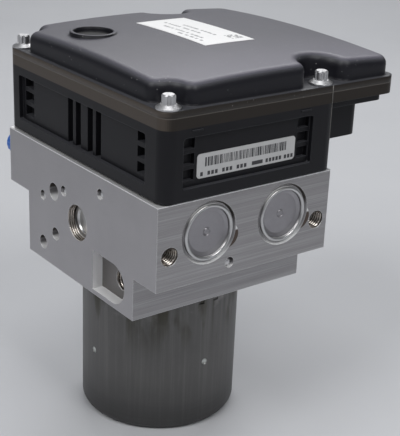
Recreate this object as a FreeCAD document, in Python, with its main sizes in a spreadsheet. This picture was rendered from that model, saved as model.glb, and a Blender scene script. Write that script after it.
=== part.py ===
import FreeCAD, Part
import math
import operator
import os

import Sketcher
from FreeCAD import Placement, Rotation, Vector

# Anti-lock brake hydraulic unit: pump motor, machined valve block and controller.
# Origin: centre of the motor's end face. +Z up to the controller, -Y towards the
# accumulator face, +Y towards the brake-line ports. Millimetres.

SIZES = {
    # pump motor
    "can_radius": 36.0,
    "can_length": 68.5,
    "can_wall": 1.8,
    "can_edge": 3.7,
    "can_floor": 2.5,
    "dimple_radius": 2.0,
    "dimple_level": 32.5,
    "notch_drop": 6.5,
    "magnet_thickness": 6.0,
    "magnet_low": 14.0,
    "magnet_clear": 16.5,
    "magnet_gap": 16.0,
    "air_gap": 0.7,
    "core_low": 18.0,
    "core_clear": 20.5,
    "core_slots": 12,
    "slot_wide": 3.4,
    "winding_overhang": 5.5,
    "shaft_radius": 4.0,
    "shaft_low": 3.2,
    "shaft_in_bush": 4.0,
    "commutator_radius": 10.0,
    "commutator_long": 8.5,
    "commutator_drop": 5.5,
    "brush_long": 9.0,
    "brush_wide": 4.4,
    "brush_tall": 5.0,
    "brush_drop": 9.5,
    "brush_travel": 2.5,
    "brush_plate_thickness": 2.0,
    "brush_box_clear": 3.2,
    "bearing_outer": 11.0,
    "bearing_race": 1.7,
    "bearing_width": 6.0,
    "main_bearing_drop": 1.9,
    "end_bearing_outer": 8.0,
    "end_plate_thickness": 3.6,
    "motor_bolt_inset": 8.4,
    "motor_screw_head": 3.6,
    "motor_screw_cap": 2.2,
    "motor_screw_grip": 8.0,
    "terminal_inset": 6.0,
    # pump drive
    "eccentric_throw": 1.0,
    "eccentric_journal": 6.0,
    "eccentric_ring_outer": 9.5,
    "eccentric_ring_tall": 10.0,
    "chamber_radius": 15.0,
    "chamber_deep": 35.5,
    "top_bush_outer": 4.9,
    "top_bush_tall": 5.0,
    "pump_rise": 28.2,
    "pump_bore": 8.0,
    "pump_piston_radius": 3.25,
    "pump_spring_room": 6.9,
    "pump_cylinder_start": 16.0,
    "pump_plug_long": 6.6,
    "pump_plug_recess": 3.5,
    # hydraulic block
    "block_width": 89.2,
    "block_front": 59.7,
    "block_back": 60.7,
    "block_tall": 54.9,
    "front_step": 16.0,
    "front_slab": 36.0,
    "back_step": 17.3,
    "back_slab": 25.8,
    # accumulator face
    "accumulator_spread": 38.6,
    "accumulator_rise": 39.5,
    "accumulator_bore": 10.4,
    "accumulator_depth": 29.7,
    "accumulator_recess": 1.7,
    "accumulator_stroke": 8.0,
    "crimp_radius": 13.5,
    "crimp_lip": 12.0,
    "crimp_sink": 0.25,
    "accumulator_skirt": 8.0,
    "accumulator_cap": 2.5,
    "crimp_depth": 1.2,
    "bracket_spread": 76.8,
    "bracket_rise": 33.2,
    "bracket_radius": 4.0,
    "bracket_depth": 20.0,
    # side faces
    "pocket_radius": 9.0,
    "pocket_depth": 5.0,
    "pocket_centre": 28.3,
    "pocket_back": 12.5,
    "pocket_rise": 11.1,
    "bush_radius": 4.5,
    "bush_depth": 17.0,
    "small_drill": 2.3,
    "small_drill_depth": 6.0,
    "ball_recess": 0.6,
    # brake-line ports
    "port_pitch": 22.4,
    "port_drop": 12.9,
    "port_radius": 5.0,
    "port_depth": 14.0,
    "master_port_depth": 9.0,
    "master_port_back": 52.0,
    "plug_head_radius": 6.2,
    "plug_head_long": 8.5,
    # valves
    "valve_pitch": 17.2,
    "valve_row_front": 14.0,
    "valve_row_pitch": 24.0,
    "valve_radius": 5.8,
    "valve_depth": 15.0,
    "dome_radius": 3.8,
    "dome_rise": 22.6,
    "armature_radius": 2.9,
    "valve_travel": 0.3,
    "sliding_gap": 0.05,
    "free_gap": 0.4,
    "sensor_radius": 5.0,
    "sensor_back": 50.0,
    "terminal_bore": 4.0,
    # controller housing
    "gasket_thickness": 0.8,
    "ecu_left": 43.2,
    "ecu_right": 78.4,
    "ecu_front": 60.8,
    "ecu_back": 63.0,
    "ecu_corner": 5.5,
    "house_right": 44.6,
    "house_tall": 29.0,
    "rim_lower": 4.8,
    "rim_upper": 2.8,
    "wall": 2.2,
    "floor_thickness": 2.2,
    "board_seat": 0.7,
    "coil_room_left": 34.6,
    "coil_room_right": 39.0,
    "ledge_right": 73.0,
    "ledge_inset": 2.0,
    "ledge_tall": 2.9,
    "shroud_left": 42.0,
    "shroud_right": 67.8,
    "shroud_front": 50.5,
    "shroud_back": 36.0,
    "shroud_long": 19.7,
    "shroud_corner": 4.5,
    "shroud_wall": 2.0,
    "pin_pitch": 4.6,
    "pin_width": 1.0,
    # relief on the housing walls
    "relief_foot": 4.8,
    "relief_head": 3.6,
    "relief_depth": 2.0,
    "window_deep": 3.2,
    "window_tall": 4.6,
    "window_pitch": 6.4,
    "window_head": 0.6,
    "side_relief_front": 48.2,
    "side_relief_back": 53.4,
    "side_window": 7.6,
    "front_relief_left": 34.2,
    "front_relief_right": 31.3,
    "front_window": 6.0,
    "groove_width": 4.2,
    "groove_pair": 8.0,
    "groove_half": 3.2,
    # controller fasteners
    "screw_left": 38.2,
    "screw_right": 38.6,
    "screw_front": 55.6,
    "screw_back": 57.4,
    "screw_shank": 2.1,
    "screw_hole": 2.7,
    "screw_flange": 5.0,
    "screw_flange_tall": 1.8,
    "screw_head": 2.75,
    "screw_head_tall": 3.8,
    "screw_grip": 6.4,
    "screw_gasket_land": 1.5,
    "pillar_radius": 4.9,
    # cover
    "cover_inset": 2.3,
    "cover_wall": 2.2,
    "cover_rise": 12.2,
    "cover_inset_right": 1.5,
    "cover_corner": 6.0,
    "dome_sphere": 780.0,
    "cover_shoulder": 4.0,
    "notch_left": 7.4,
    "notch_right": 9.6,
    "blend_left": 5.0,
    "blend_right": 5.0,
    "breather_x": 22.0,
    "breather_y": 24.5,
    "breather_radius": 10.2,
    "breather_drop": 0.1,
    "breather_bore": 8.7,
    "breather_deep": 2.6,
    # labels
    "top_label_x": 18.4,
    "top_label_y": 6.0,
    "top_label_wide": 26.4,
    "top_label_long": 51.8,
    "side_label_x": 1.3,
    "side_label_rise": 12.4,
    "side_label_wide": 50.0,
    "side_label_tall": 10.0,
    "label_thickness": 0.2,
    # controller inside
    "board_thickness": 1.6,
    "board_gap": 0.5,
    "coil_outer": 8.2,
    "coil_inner": 4.1,
    "coil_sheet": 0.9,
    "coil_rise": 19.0,
}

UP = Rotation()
DOWN = Rotation(Vector(1, 0, 0), 180)
TO_RIGHT = Rotation(Vector(0, 1, 0), 90)
TO_LEFT = Rotation(Vector(0, 1, 0), -90)
TO_BACK = Rotation(Vector(1, 0, 0), -90)
TO_FRONT = Rotation(Vector(1, 0, 0), 90)

SIGNS = {"+": operator.add, "-": operator.sub, "*": operator.mul, "/": operator.truediv}


class Size:
    """A length together with the sheet formula that gives it."""

    def __init__(self, value, formula):
        self.value = value
        self.formula = formula

    def joined(self, sign, other, swapped=False):
        if not isinstance(other, Size):
            other = Size(float(other), f"({float(other)})")
        first, second = (other, self) if swapped else (self, other)
        return Size(SIGNS[sign](first.value, second.value),
                    f"({first.formula} {sign} {second.formula})")

    def __add__(self, other):
        return self.joined("+", other)

    def __radd__(self, other):
        return self.joined("+", other, True)

    def __sub__(self, other):
        return self.joined("-", other)

    def __rsub__(self, other):
        return self.joined("-", other, True)

    def __mul__(self, other):
        return self.joined("*", other)

    def __rmul__(self, other):
        return self.joined("*", other, True)

    def __truediv__(self, other):
        return self.joined("/", other)

    def __neg__(self):
        return 0 - self


def root(size):
    return Size(math.sqrt(size.value), f"sqrt({size.formula})")


def number(size):
    return size.value if isinstance(size, Size) else float(size)


os.makedirs("parts", exist_ok=True)
doc = FreeCAD.newDocument("BrakeModule")
sheet = doc.addObject("Spreadsheet::Sheet", "Sizes")


class Sheet:
    """Sizes by name: Sheet.can_radius is the cell's value and formula."""


for row, (alias, amount) in enumerate(SIZES.items(), start=1):
    sheet.set(f"A{row}", alias)
    sheet.set(f"B{row}", str(amount))
    sheet.setAlias(f"B{row}", alias)
    setattr(Sheet, alias, Size(float(amount), f"Sizes.{alias}"))
doc.recompute()

S = Sheet
NODES = []


def bind(piece, prop, size):
    """Set a property to a plain number or tie it to its sheet formula."""
    if isinstance(size, Size):
        piece.setExpression(prop, size.formula)
    else:
        setattr(piece, prop, size)


def place(piece, x=0, y=0, z=0, turn=UP, prop="Placement"):
    setattr(piece, prop, Placement(Vector(number(x), number(y), number(z)), turn))
    for axis, size in (("x", x), ("y", y), ("z", z)):
        if isinstance(size, Size):
            piece.setExpression(f"{prop}.Base.{axis}", size.formula)
    return piece


def rod(name, radius, length, x=0, y=0, z=0, turn=UP):
    piece = doc.addObject("Part::Cylinder", name)
    bind(piece, "Radius", radius)
    bind(piece, "Height", length)
    return place(piece, x, y, z, turn)


def bar(name, wide, deep, tall, x=0, y=0, z=0):
    """A box whose base is centred on (x, y) and stands on z."""
    piece = doc.addObject("Part::Box", name)
    bind(piece, "Length", wide)
    bind(piece, "Width", deep)
    bind(piece, "Height", tall)
    return place(piece, x - wide / 2, y - deep / 2, z)


def cut(name, base, tool):
    piece = doc.addObject("Part::Cut", name)
    piece.Base = base
    piece.Tool = tool
    return piece


def common(name, base, tool):
    piece = doc.addObject("Part::Common", name)
    piece.Base = base
    piece.Tool = tool
    return piece


def fused(name, pieces):
    piece = doc.addObject("Part::MultiFuse", name)
    piece.Shapes = pieces
    return piece


def group(name, pieces):
    piece = doc.addObject("Part::Compound", name)
    piece.Links = pieces
    return piece


def mirrored(name, source):
    """The same piece on the other side of the YZ plane."""
    piece = doc.addObject("Part::Mirroring", name)
    piece.Source = source
    piece.Base = Vector(0, 0, 0)
    piece.Normal = Vector(1, 0, 0)
    return piece


def copies(name, source, spots, turn=UP):
    """One placed link to the source for each (x, y, z)."""
    links = []
    for index, spot in enumerate(spots, start=1):
        link = doc.addObject("App::Link", f"{name}_{index}")
        link.LinkedObject = source
        place(link, *spot, turn=turn)
        links.append(link)
    return links


def node(piece, label):
    """Name a finished sub-part; it is written to its own file at the end."""
    piece.Label = label
    NODES.append(piece)
    return piece


def body(name):
    return doc.addObject("PartDesign::Body", name)


def sketch_on(owner, name, role, offset=0, shift=0):
    """Sketch on an origin plane, moved along its normal and along its own first axis."""
    plane = next(item for item in owner.Origin.OriginFeatures if item.Role == role)
    sketch = owner.newObject("Sketcher::SketchObject", name)
    sketch.AttachmentSupport = [(plane, "")]
    sketch.MapMode = "FlatFace"
    place(sketch, shift, 0, offset, prop="AttachmentOffset")
    return sketch


def constrain(sketch, size, kind, *places):
    index = sketch.addConstraint(Sketcher.Constraint(kind, *places, number(size)))
    if isinstance(size, Size):
        sketch.setExpression(f"Constraints[{index}]", size.formula)


def hold(sketch, item, point, spot):
    """Fix a point of the sketch at (u, v); a zero puts it on the axis."""
    for kind, axis, size in (("DistanceX", -2, spot[0]), ("DistanceY", -1, spot[1])):
        if isinstance(size, Size) or size:
            constrain(sketch, size, kind, -1, 1, item, point)
        else:
            sketch.addConstraint(Sketcher.Constraint("PointOnObject", item, point, axis))


def flat(spot):
    return Vector(number(spot[0]), number(spot[1]), 0)


def draw_polygon(sketch, spots):
    first = sketch.GeometryCount
    for start, end in zip(spots, spots[1:] + spots[:1]):
        sketch.addGeometry(Part.LineSegment(flat(start), flat(end)), False)
    for index in range(len(spots)):
        after = first + (index + 1) % len(spots)
        sketch.addConstraint(Sketcher.Constraint("Coincident", first + index, 2, after, 1))
    for index, spot in enumerate(spots):
        hold(sketch, first + index, 1, spot)


def draw_circle(sketch, centre, radius):
    circle = Part.Circle(flat(centre), Vector(0, 0, 1), number(radius))
    item = sketch.addGeometry(circle, False)
    hold(sketch, item, 3, centre)
    constrain(sketch, radius, "Radius", item)


def draw_box(sketch, left, right, low, high):
    draw_polygon(sketch, [(left, low), (right, low), (right, high), (left, high)])


def arc(centre, radius, start, end):
    """Arc from one angle to the other, anticlockwise, in degrees."""
    circle = Part.Circle(flat(centre), Vector(0, 0, 1), number(radius))
    return Part.ArcOfCircle(circle, math.radians(start), math.radians(end))


def draw_rounded(sketch, left, right, low, high, radius):
    """Rectangle with four equal tangent corner arcs."""
    spots = [(right - radius, low + radius, -90), (right - radius, high - radius, 0),
             (left + radius, high - radius, 90), (left + radius, low + radius, 180)]
    lines = [((left + radius, low), (right - radius, low)),
             ((right, low + radius), (right, high - radius)),
             ((right - radius, high), (left + radius, high)),
             ((left, high - radius), (left, low + radius))]
    first = sketch.GeometryCount
    for (start, end), (u, v, angle) in zip(lines, spots):
        sketch.addGeometry(Part.LineSegment(flat(start), flat(end)), False)
        sketch.addGeometry(arc((u, v), radius, angle, angle + 90), False)
    for index in range(4):
        line, bend, after = first + 2 * index, first + 2 * index + 1, first + (2 * index + 2) % 8
        sketch.addConstraint(Sketcher.Constraint("Tangent", line, 2, bend, 1))
        sketch.addConstraint(Sketcher.Constraint("Tangent", bend, 2, after, 1))
        sketch.addConstraint(Sketcher.Constraint("Vertical" if index % 2 else "Horizontal", line))
        if index:
            sketch.addConstraint(Sketcher.Constraint("Equal", first + 1, bend))
    constrain(sketch, radius, "Radius", first + 1)
    for size, kind, item in ((low, "DistanceY", 0), (right, "DistanceX", 2),
                             (high, "DistanceY", 4), (left, "DistanceX", 6)):
        constrain(sketch, size, kind, -1, 1, first + item, 1)


def pad(owner, sketch, length, midplane=False, backwards=False):
    step = owner.newObject("PartDesign::Pad", sketch.Name + "Pad")
    step.Profile = sketch
    step.Midplane = midplane
    step.Reversed = backwards
    bind(step, "Length", length)
    return step


def pocket(owner, sketch, depth, backwards=False):
    step = owner.newObject("PartDesign::Pocket", sketch.Name + "Pocket")
    step.Profile = sketch
    step.Reversed = backwards
    bind(step, "Length", depth)
    return step


def revolve(owner, sketch, kind="PartDesign::Revolution"):
    step = owner.newObject(kind, sketch.Name + "Turned")
    step.Profile = sketch
    step.ReferenceAxis = (sketch, ["V_Axis"])
    step.Angle = 360
    return step


def turned(name, spots, x=0, y=0, z=0, turn=UP):
    """A lathe part: (radius, height) profile revolved about its own axis."""
    owner = body(name)
    sketch = sketch_on(owner, name + "Profile", "XZ_Plane")
    draw_polygon(sketch, spots)
    revolve(owner, sketch)
    return place(owner, x, y, z, turn)


def tube(name, outer, inner, low, high, x=0, y=0, turn=UP):
    """A plain ring or sleeve between two levels."""
    return turned(name, [(inner, low), (outer, low), (outer, high), (inner, high)], x, y, 0, turn)


def spring(name, radius, wire, long, turns, x=0, y=0, z=0, turn=UP):
    """A compression spring whose wire stays inside its own length."""
    path = doc.addObject("Part::Helix", name + "Path")
    bind(path, "Radius", radius)
    bind(path, "Height", long - wire * 2)
    bind(path, "Pitch", (long - wire * 2) / turns)
    section = doc.addObject("Part::Circle", name + "Wire")
    bind(section, "Radius", wire)
    place(section, radius, 0, 0, TO_FRONT)
    coil = doc.addObject("Part::Sweep", name)
    coil.Sections = [section]
    coil.Spine = (path, [])
    coil.Solid = True
    coil.Frenet = True
    return place(coil, x, y, z, turn)


def around(angle, radius):
    turn = math.radians(angle)
    return radius * math.cos(turn), radius * math.sin(turn)


# levels and places that several pieces share
BLOCK_LOW = S.can_length
BLOCK_TOP = BLOCK_LOW + S.block_tall
HOUSE_LOW = BLOCK_TOP + S.gasket_thickness
RIM_LOW = HOUSE_LOW + S.house_tall
RIM_PART = RIM_LOW + S.rim_lower
RIM_TOP = RIM_PART + S.rim_upper
CROWN = RIM_TOP + S.cover_rise
BOARD_LOW = RIM_LOW - S.board_seat
BOARD_TOP = BOARD_LOW + S.board_thickness
CHAMBER_TOP = BLOCK_LOW + S.chamber_deep
PUMP_LEVEL = BLOCK_LOW + S.pump_rise
ACCUMULATOR_LEVEL = BLOCK_LOW + S.accumulator_rise
BRACKET_LEVEL = BLOCK_LOW + S.bracket_rise
POCKET_LEVEL = BLOCK_LOW + S.pocket_rise
PORT_LEVEL = BLOCK_TOP - S.port_drop
DOME_TOP = BLOCK_TOP + S.dome_rise
COIL_TOP = BLOCK_TOP + S.coil_rise
SHROUD_LOW = RIM_LOW - S.shroud_long
RELIEF_LOW = HOUSE_LOW + S.relief_foot
RELIEF_HIGH = RIM_LOW - S.relief_head
WINDOW_TOP = RELIEF_HIGH - S.window_head
SIDE_LABEL_LEVEL = HOUSE_LOW + S.side_label_rise
HALF = S.block_width / 2
VALVE_X = [S.valve_pitch * share for share in (-1.5, -0.5, 0.5, 1.5)]
VALVE_Y = [S.valve_row_pitch * row - S.valve_row_front for row in (0, 1, 2)]
SCREWS = [(-S.screw_left, -S.screw_front), (S.screw_right, -S.screw_front),
          (S.screw_right, S.screw_back), (-S.screw_left, S.screw_back)]
PORTS = [S.port_pitch * share for share in (-1.5, -0.5, 0.5, 1.5)]
MASTER_PORTS = [-S.port_pitch, S.port_pitch]
MOTOR_SCREWS = [around(angle, S.can_radius - S.motor_bolt_inset) for angle in (25.6, 90, 154.4)]
# sealed drillings and open holes on each side face: (y, z) and (y, z, radius)
SEALED = [(y, BLOCK_LOW + rise) for y, rise in ((30.0, 31.3), (11.7, 39.0), (-18.2, 47.1))]
OPEN_HOLES = [(y, BLOCK_LOW + rise, radius) for y, rise, radius in
              ((20.2, 36.0, 4.0), (30.2, 8.5, 3.2), (19.0, 16.2, 3.0))]
FRONT_DRILL = (-8.3, BLOCK_LOW + 24.0)
PUMP_END = HALF - S.pump_plug_recess - S.pump_plug_long
TERMINAL = S.can_radius - S.terminal_inset


def hydraulic_block():
    """Stepped bar of aluminium, bored from every face."""
    block = body("HydraulicBlock")
    side = sketch_on(block, "BarSection", "YZ_Plane")
    front, back = -S.block_front, S.block_back
    draw_polygon(side, [
        (front, BLOCK_TOP), (front, BLOCK_TOP - S.front_slab),
        (front + S.front_step, BLOCK_TOP - S.front_slab), (front + S.front_step, BLOCK_LOW),
        (back - S.back_step, BLOCK_LOW), (back - S.back_step, BLOCK_TOP - S.back_slab),
        (back, BLOCK_TOP - S.back_slab), (back, BLOCK_TOP)])
    pad(block, side, S.block_width, midplane=True)
    bore_top(block)
    bore_front(block)
    bore_back(block)
    bore_bottom(block)
    for name, offset, backwards in (("Left", -HALF, True), ("Right", HALF, False)):
        bore_side(block, name, offset, backwards)
    node(block, "hydraulic_block")


def bore_top(block):
    valves = sketch_on(block, "ValveBores", "XY_Plane", BLOCK_TOP)
    for x in VALVE_X:
        for y in VALVE_Y:
            draw_circle(valves, (x, y), S.valve_radius)
    pocket(block, valves, S.valve_depth)
    sensor = sketch_on(block, "SensorBore", "XY_Plane", BLOCK_TOP)
    draw_circle(sensor, (0, S.sensor_back), S.sensor_radius)
    pocket(block, sensor, 6.0)
    terminals = sketch_on(block, "TerminalBore", "XY_Plane", BLOCK_TOP)
    draw_circle(terminals, (0, -TERMINAL), S.terminal_bore)
    pocket(block, terminals, S.block_tall)
    screws = sketch_on(block, "ScrewBores", "XY_Plane", BLOCK_TOP)
    for spot in SCREWS:
        draw_circle(screws, spot, S.screw_shank)
    pocket(block, screws, S.screw_grip + 0.6)


def bore_front(block):
    face = sketch_on(block, "AccumulatorBore", "XZ_Plane", S.block_front)
    for name, x in (("Left", -S.accumulator_spread / 2), ("Right", S.accumulator_spread / 2)):
        draw_circle(face, (x, ACCUMULATOR_LEVEL), S.accumulator_bore)
        ring = sketch_on(block, name + "CrimpGroove", "XY_Plane", ACCUMULATOR_LEVEL, x)
        draw_polygon(ring, crimp_groove())
        revolve(block, ring, "PartDesign::Groove")
    pocket(block, face, S.accumulator_depth)
    threads = sketch_on(block, "BracketThreads", "XZ_Plane", S.block_front)
    for x in (-S.bracket_spread / 2, S.bracket_spread / 2):
        draw_circle(threads, (x, BRACKET_LEVEL), S.bracket_radius)
    pocket(block, threads, S.bracket_depth)
    drill = sketch_on(block, "FrontDrill", "XZ_Plane", S.block_front)
    draw_circle(drill, FRONT_DRILL, S.small_drill)
    pocket(block, drill, S.small_drill_depth)


def crimp_groove():
    """Section of the groove that leaves a crimped lip round an accumulator bore."""
    face, floor = -S.block_front, S.crimp_depth - S.block_front
    lip, crest = S.crimp_lip, S.crimp_sink - S.block_front
    bore = S.accumulator_bore - 0.2
    return [(bore, face - 1), (bore, floor), (S.accumulator_bore + 0.1, floor),
            (S.accumulator_bore + 0.5, crest), (lip - 0.4, crest), (lip, floor),
            (S.crimp_radius - 0.8, floor), (S.crimp_radius, face), (S.crimp_radius, face - 1)]


def bore_back(block):
    ports = sketch_on(block, "WheelPorts", "XZ_Plane", -S.block_back)
    for x in PORTS:
        draw_circle(ports, (x, PORT_LEVEL), S.port_radius)
    pocket(block, ports, S.port_depth, backwards=True)
    masters = sketch_on(block, "MasterPorts", "XY_Plane", BLOCK_TOP - S.back_slab)
    for x in MASTER_PORTS:
        draw_circle(masters, (x, S.master_port_back), S.port_radius)
    pocket(block, masters, S.master_port_depth, backwards=True)


def bore_bottom(block):
    chamber = sketch_on(block, "PumpChamber", "XY_Plane", BLOCK_LOW)
    draw_circle(chamber, (0, 0), S.chamber_radius)
    pocket(block, chamber, CHAMBER_TOP - BLOCK_LOW, backwards=True)
    bush = sketch_on(block, "TopBushBore", "XY_Plane", CHAMBER_TOP)
    draw_circle(bush, (0, 0), S.top_bush_outer)
    pocket(block, bush, S.top_bush_tall, backwards=True)
    screws = sketch_on(block, "MotorScrewBores", "XY_Plane", BLOCK_LOW)
    for spot in MOTOR_SCREWS:
        draw_circle(screws, spot, S.screw_shank)
    pocket(block, screws, S.motor_screw_grip + 1, backwards=True)


def bore_side(block, name, offset, backwards):
    pump = sketch_on(block, name + "PumpBore", "YZ_Plane", offset)
    draw_circle(pump, (0, PUMP_LEVEL), S.pump_bore)
    reach = root(S.chamber_radius * S.chamber_radius - S.pump_bore * S.pump_bore)
    pocket(block, pump, HALF - reach + 0.2, backwards)
    milled = sketch_on(block, name + "MilledPocket", "YZ_Plane", offset)
    draw_slot_end(milled)
    pocket(block, milled, S.pocket_depth, backwards)
    bush = sketch_on(block, name + "BushBore", "YZ_Plane", offset)
    draw_circle(bush, (-S.pocket_centre, POCKET_LEVEL), S.bush_radius)
    pocket(block, bush, S.bush_depth, backwards)
    drills = sketch_on(block, name + "Drillings", "YZ_Plane", offset)
    for spot in SEALED:
        draw_circle(drills, spot, S.small_drill)
    pocket(block, drills, S.small_drill_depth, backwards)
    holes = sketch_on(block, name + "OpenHoles", "YZ_Plane", offset)
    for y, z, radius in OPEN_HOLES:
        draw_circle(holes, (y, z), radius)
    pocket(block, holes, 4.6, backwards)


def draw_slot_end(sketch):
    """Pocket with one round end: a half circle closed by a square end."""
    u, v, radius = -S.pocket_centre, POCKET_LEVEL, S.pocket_radius
    first = sketch.GeometryCount
    sketch.addGeometry(arc((u, v), radius, 90, 270), False)
    spots = [(u, v - radius), (-S.pocket_back, v - radius), (-S.pocket_back, v + radius),
             (u, v + radius)]
    for start, end in zip(spots, spots[1:]):
        sketch.addGeometry(Part.LineSegment(flat(start), flat(end)), False)
    for kind, *items in (("Tangent", first, 2, first + 1, 1),
                         ("Coincident", first + 1, 2, first + 2, 1),
                         ("Coincident", first + 2, 2, first + 3, 1),
                         ("Tangent", first + 3, 2, first, 1),
                         ("Horizontal", first + 1), ("Vertical", first + 2),
                         ("Horizontal", first + 3)):
        sketch.addConstraint(Sketcher.Constraint(kind, *items))
    hold(sketch, first, 3, (u, v))
    constrain(sketch, radius, "Radius", first)
    constrain(sketch, -S.pocket_back, "DistanceX", -1, 1, first + 2, 1)


MAGNET_OUTER = S.can_radius - S.can_wall
MAGNET_INNER = MAGNET_OUTER - S.magnet_thickness
CORE_RADIUS = MAGNET_INNER - S.air_gap
PLATE_LOW = BLOCK_LOW - S.end_plate_thickness
MAGNET_HIGH = BLOCK_LOW - S.magnet_clear
CORE_HIGH = BLOCK_LOW - S.core_clear
COMMUTATOR_HIGH = BLOCK_LOW - S.commutator_drop
COMMUTATOR_LOW = COMMUTATOR_HIGH - S.commutator_long
BRUSH_LEVEL = BLOCK_LOW - S.brush_drop
MAIN_BEARING = BLOCK_LOW - S.main_bearing_drop
SHAFT_TOP = CHAMBER_TOP + S.shaft_in_bush
BRUSH_PLATE_LOW = BRUSH_LEVEL - S.brush_tall / 2 - S.brush_plate_thickness


def motor_can():
    """Deep-drawn steel can with a rounded closed end and four staking dimples."""
    can = body("MotorCan")
    wall = sketch_on(can, "CanSection", "XZ_Plane")
    inner = S.can_radius - S.can_wall
    draw_polygon(wall, [
        (0, 0), (S.can_radius, 0), (S.can_radius, S.can_length), (inner, S.can_length),
        (inner, S.can_floor), (S.end_bearing_outer, S.can_floor),
        (S.end_bearing_outer, S.can_floor / 2), (0, S.can_floor / 2)])
    turned_can = revolve(can, wall)
    doc.recompute()
    edge = round_edge(turned_can.Shape, S.can_radius.value, 0)
    bend = can.newObject("PartDesign::Fillet", "CanBend")
    bend.Base = (turned_can, [edge])
    bind(bend, "Radius", S.can_edge)
    doc.recompute()
    dimples = [dimple(can, angle) for angle in (0, 90, 180, 270)]
    notches = [notch(can, angle) for angle in (-94.6, -81.9)]
    can.Tip = (dimples + notches)[-1]
    node(can, "motor_can")


def round_edge(shape, radius, level):
    """Name of the circular edge of this radius at this level."""
    for index, edge in enumerate(shape.Edges, start=1):
        curve = edge.Curve
        if isinstance(curve, Part.Circle) and abs(curve.Radius - radius) < 1e-4:
            if abs(curve.Center.z - level) < 1e-4:
                return f"Edge{index}"
    raise ValueError("edge not found")


def dimple(can, angle):
    ball = can.newObject("PartDesign::SubtractiveSphere", "StakeDimple")
    bind(ball, "Radius", S.dimple_radius)
    x, y = around(angle, S.can_radius + S.dimple_radius * 0.55)
    return place(ball, x, y, S.dimple_level)


def notch(can, angle):
    """Shallow crimp mark just under the block."""
    mark = can.newObject("PartDesign::SubtractiveBox", "CrimpMark")
    for prop, size in (("Length", 1.2), ("Width", 2.6), ("Height", 2.0)):
        bind(mark, prop, size)
    x, y = around(angle, S.can_radius - 0.5)
    side_x, side_y = around(angle + 90, S.can_radius * 0 - 1.3)
    return place(mark, x + side_x, y + side_y, BLOCK_LOW - S.notch_drop, Rotation(Vector(0, 0, 1), angle))


def motor_magnets():
    """Two arc magnets against the can wall."""
    ring = tube("MagnetRing", MAGNET_OUTER, MAGNET_INNER, S.magnet_low, MAGNET_HIGH)
    gap = bar("MagnetGap", S.magnet_gap, S.can_radius * 2, MAGNET_HIGH, 0, 0, S.magnet_low - 1)
    node(cut("Magnets", ring, gap), "motor_magnets")


def armature_core():
    """Slotted lamination stack on the shaft."""
    core = body("ArmatureCore")
    disc = sketch_on(core, "CoreDisc", "XY_Plane", S.core_low)
    draw_circle(disc, (0, 0), CORE_RADIUS)
    draw_circle(disc, (0, 0), S.shaft_radius)
    pad(core, disc, CORE_HIGH - S.core_low)
    slot = sketch_on(core, "WindingSlot", "XY_Plane", CORE_HIGH)
    draw_box(slot, CORE_RADIUS - 9, CORE_RADIUS - 1.4, -S.slot_wide / 2, S.slot_wide / 2)
    opening = sketch_on(core, "SlotMouth", "XY_Plane", CORE_HIGH)
    draw_box(opening, CORE_RADIUS - 2, CORE_RADIUS + 1, -S.slot_wide / 4, S.slot_wide / 4)
    cuts = [pocket(core, slot, CORE_HIGH - S.core_low),
            pocket(core, opening, CORE_HIGH - S.core_low)]
    ring = core.newObject("PartDesign::PolarPattern", "Slots")
    ring.Originals = cuts
    axis = next(item for item in core.Origin.OriginFeatures if item.Role == "Z_Axis")
    ring.Axis = (axis, [""])
    ring.Angle = 360
    bind(ring, "Occurrences", S.core_slots)
    core.Tip = ring
    return node(core, "armature_core")


def armature_windings(core):
    """End turns above and below the stack, joined by the wire in the slots."""
    inner = CORE_RADIUS - 9
    outer = CORE_RADIUS - 1.4
    ends = []
    for name, low, high in (("Lower", S.core_low - S.winding_overhang, S.core_low),
                            ("Upper", CORE_HIGH, CORE_HIGH + S.winding_overhang)):
        ends.append(tube(f"{name}EndTurns", outer, inner, low, high))
    legs = []
    step = 360 / SIZES["core_slots"]
    for index in range(SIZES["core_slots"]):
        leg = doc.addObject("Part::Box", f"SlotWire{index}")
        bind(leg, "Length", outer - inner)
        bind(leg, "Width", S.slot_wide)
        bind(leg, "Height", CORE_HIGH - S.core_low)
        angle = step * index
        across_x, across_y = around(angle + 90, 1.0)
        along_x, along_y = around(angle, 1.0)
        place(leg, inner * along_x - S.slot_wide / 2 * across_x,
              inner * along_y - S.slot_wide / 2 * across_y, S.core_low,
              Rotation(Vector(0, 0, 1), angle))
        legs.append(leg)
    node(fused("Windings", ends + legs), "armature_windings")


def commutator():
    """Copper barrel with saw cuts between the bars."""
    barrel = body("Commutator")
    profile = sketch_on(barrel, "BarrelSection", "XZ_Plane")
    draw_polygon(profile, [(S.shaft_radius, COMMUTATOR_LOW),
                           (S.commutator_radius + 1.0, COMMUTATOR_LOW),
                           (S.commutator_radius + 1.0, COMMUTATOR_LOW + 1.2),
                           (S.commutator_radius, COMMUTATOR_LOW + 1.2),
                           (S.commutator_radius, COMMUTATOR_HIGH),
                           (S.shaft_radius, COMMUTATOR_HIGH)])
    revolve(barrel, profile)
    saw = sketch_on(barrel, "SawCut", "XY_Plane", COMMUTATOR_HIGH)
    draw_box(saw, S.commutator_radius - 1, S.commutator_radius + 1.2, -0.25, 0.25)
    cuts = [pocket(barrel, saw, COMMUTATOR_HIGH - COMMUTATOR_LOW)]
    ring = barrel.newObject("PartDesign::PolarPattern", "Bars")
    ring.Originals = cuts
    axis = next(item for item in barrel.Origin.OriginFeatures if item.Role == "Z_Axis")
    ring.Axis = (axis, [""])
    ring.Angle = 360
    bind(ring, "Occurrences", S.core_slots)
    barrel.Tip = ring
    node(barrel, "commutator")


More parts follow.
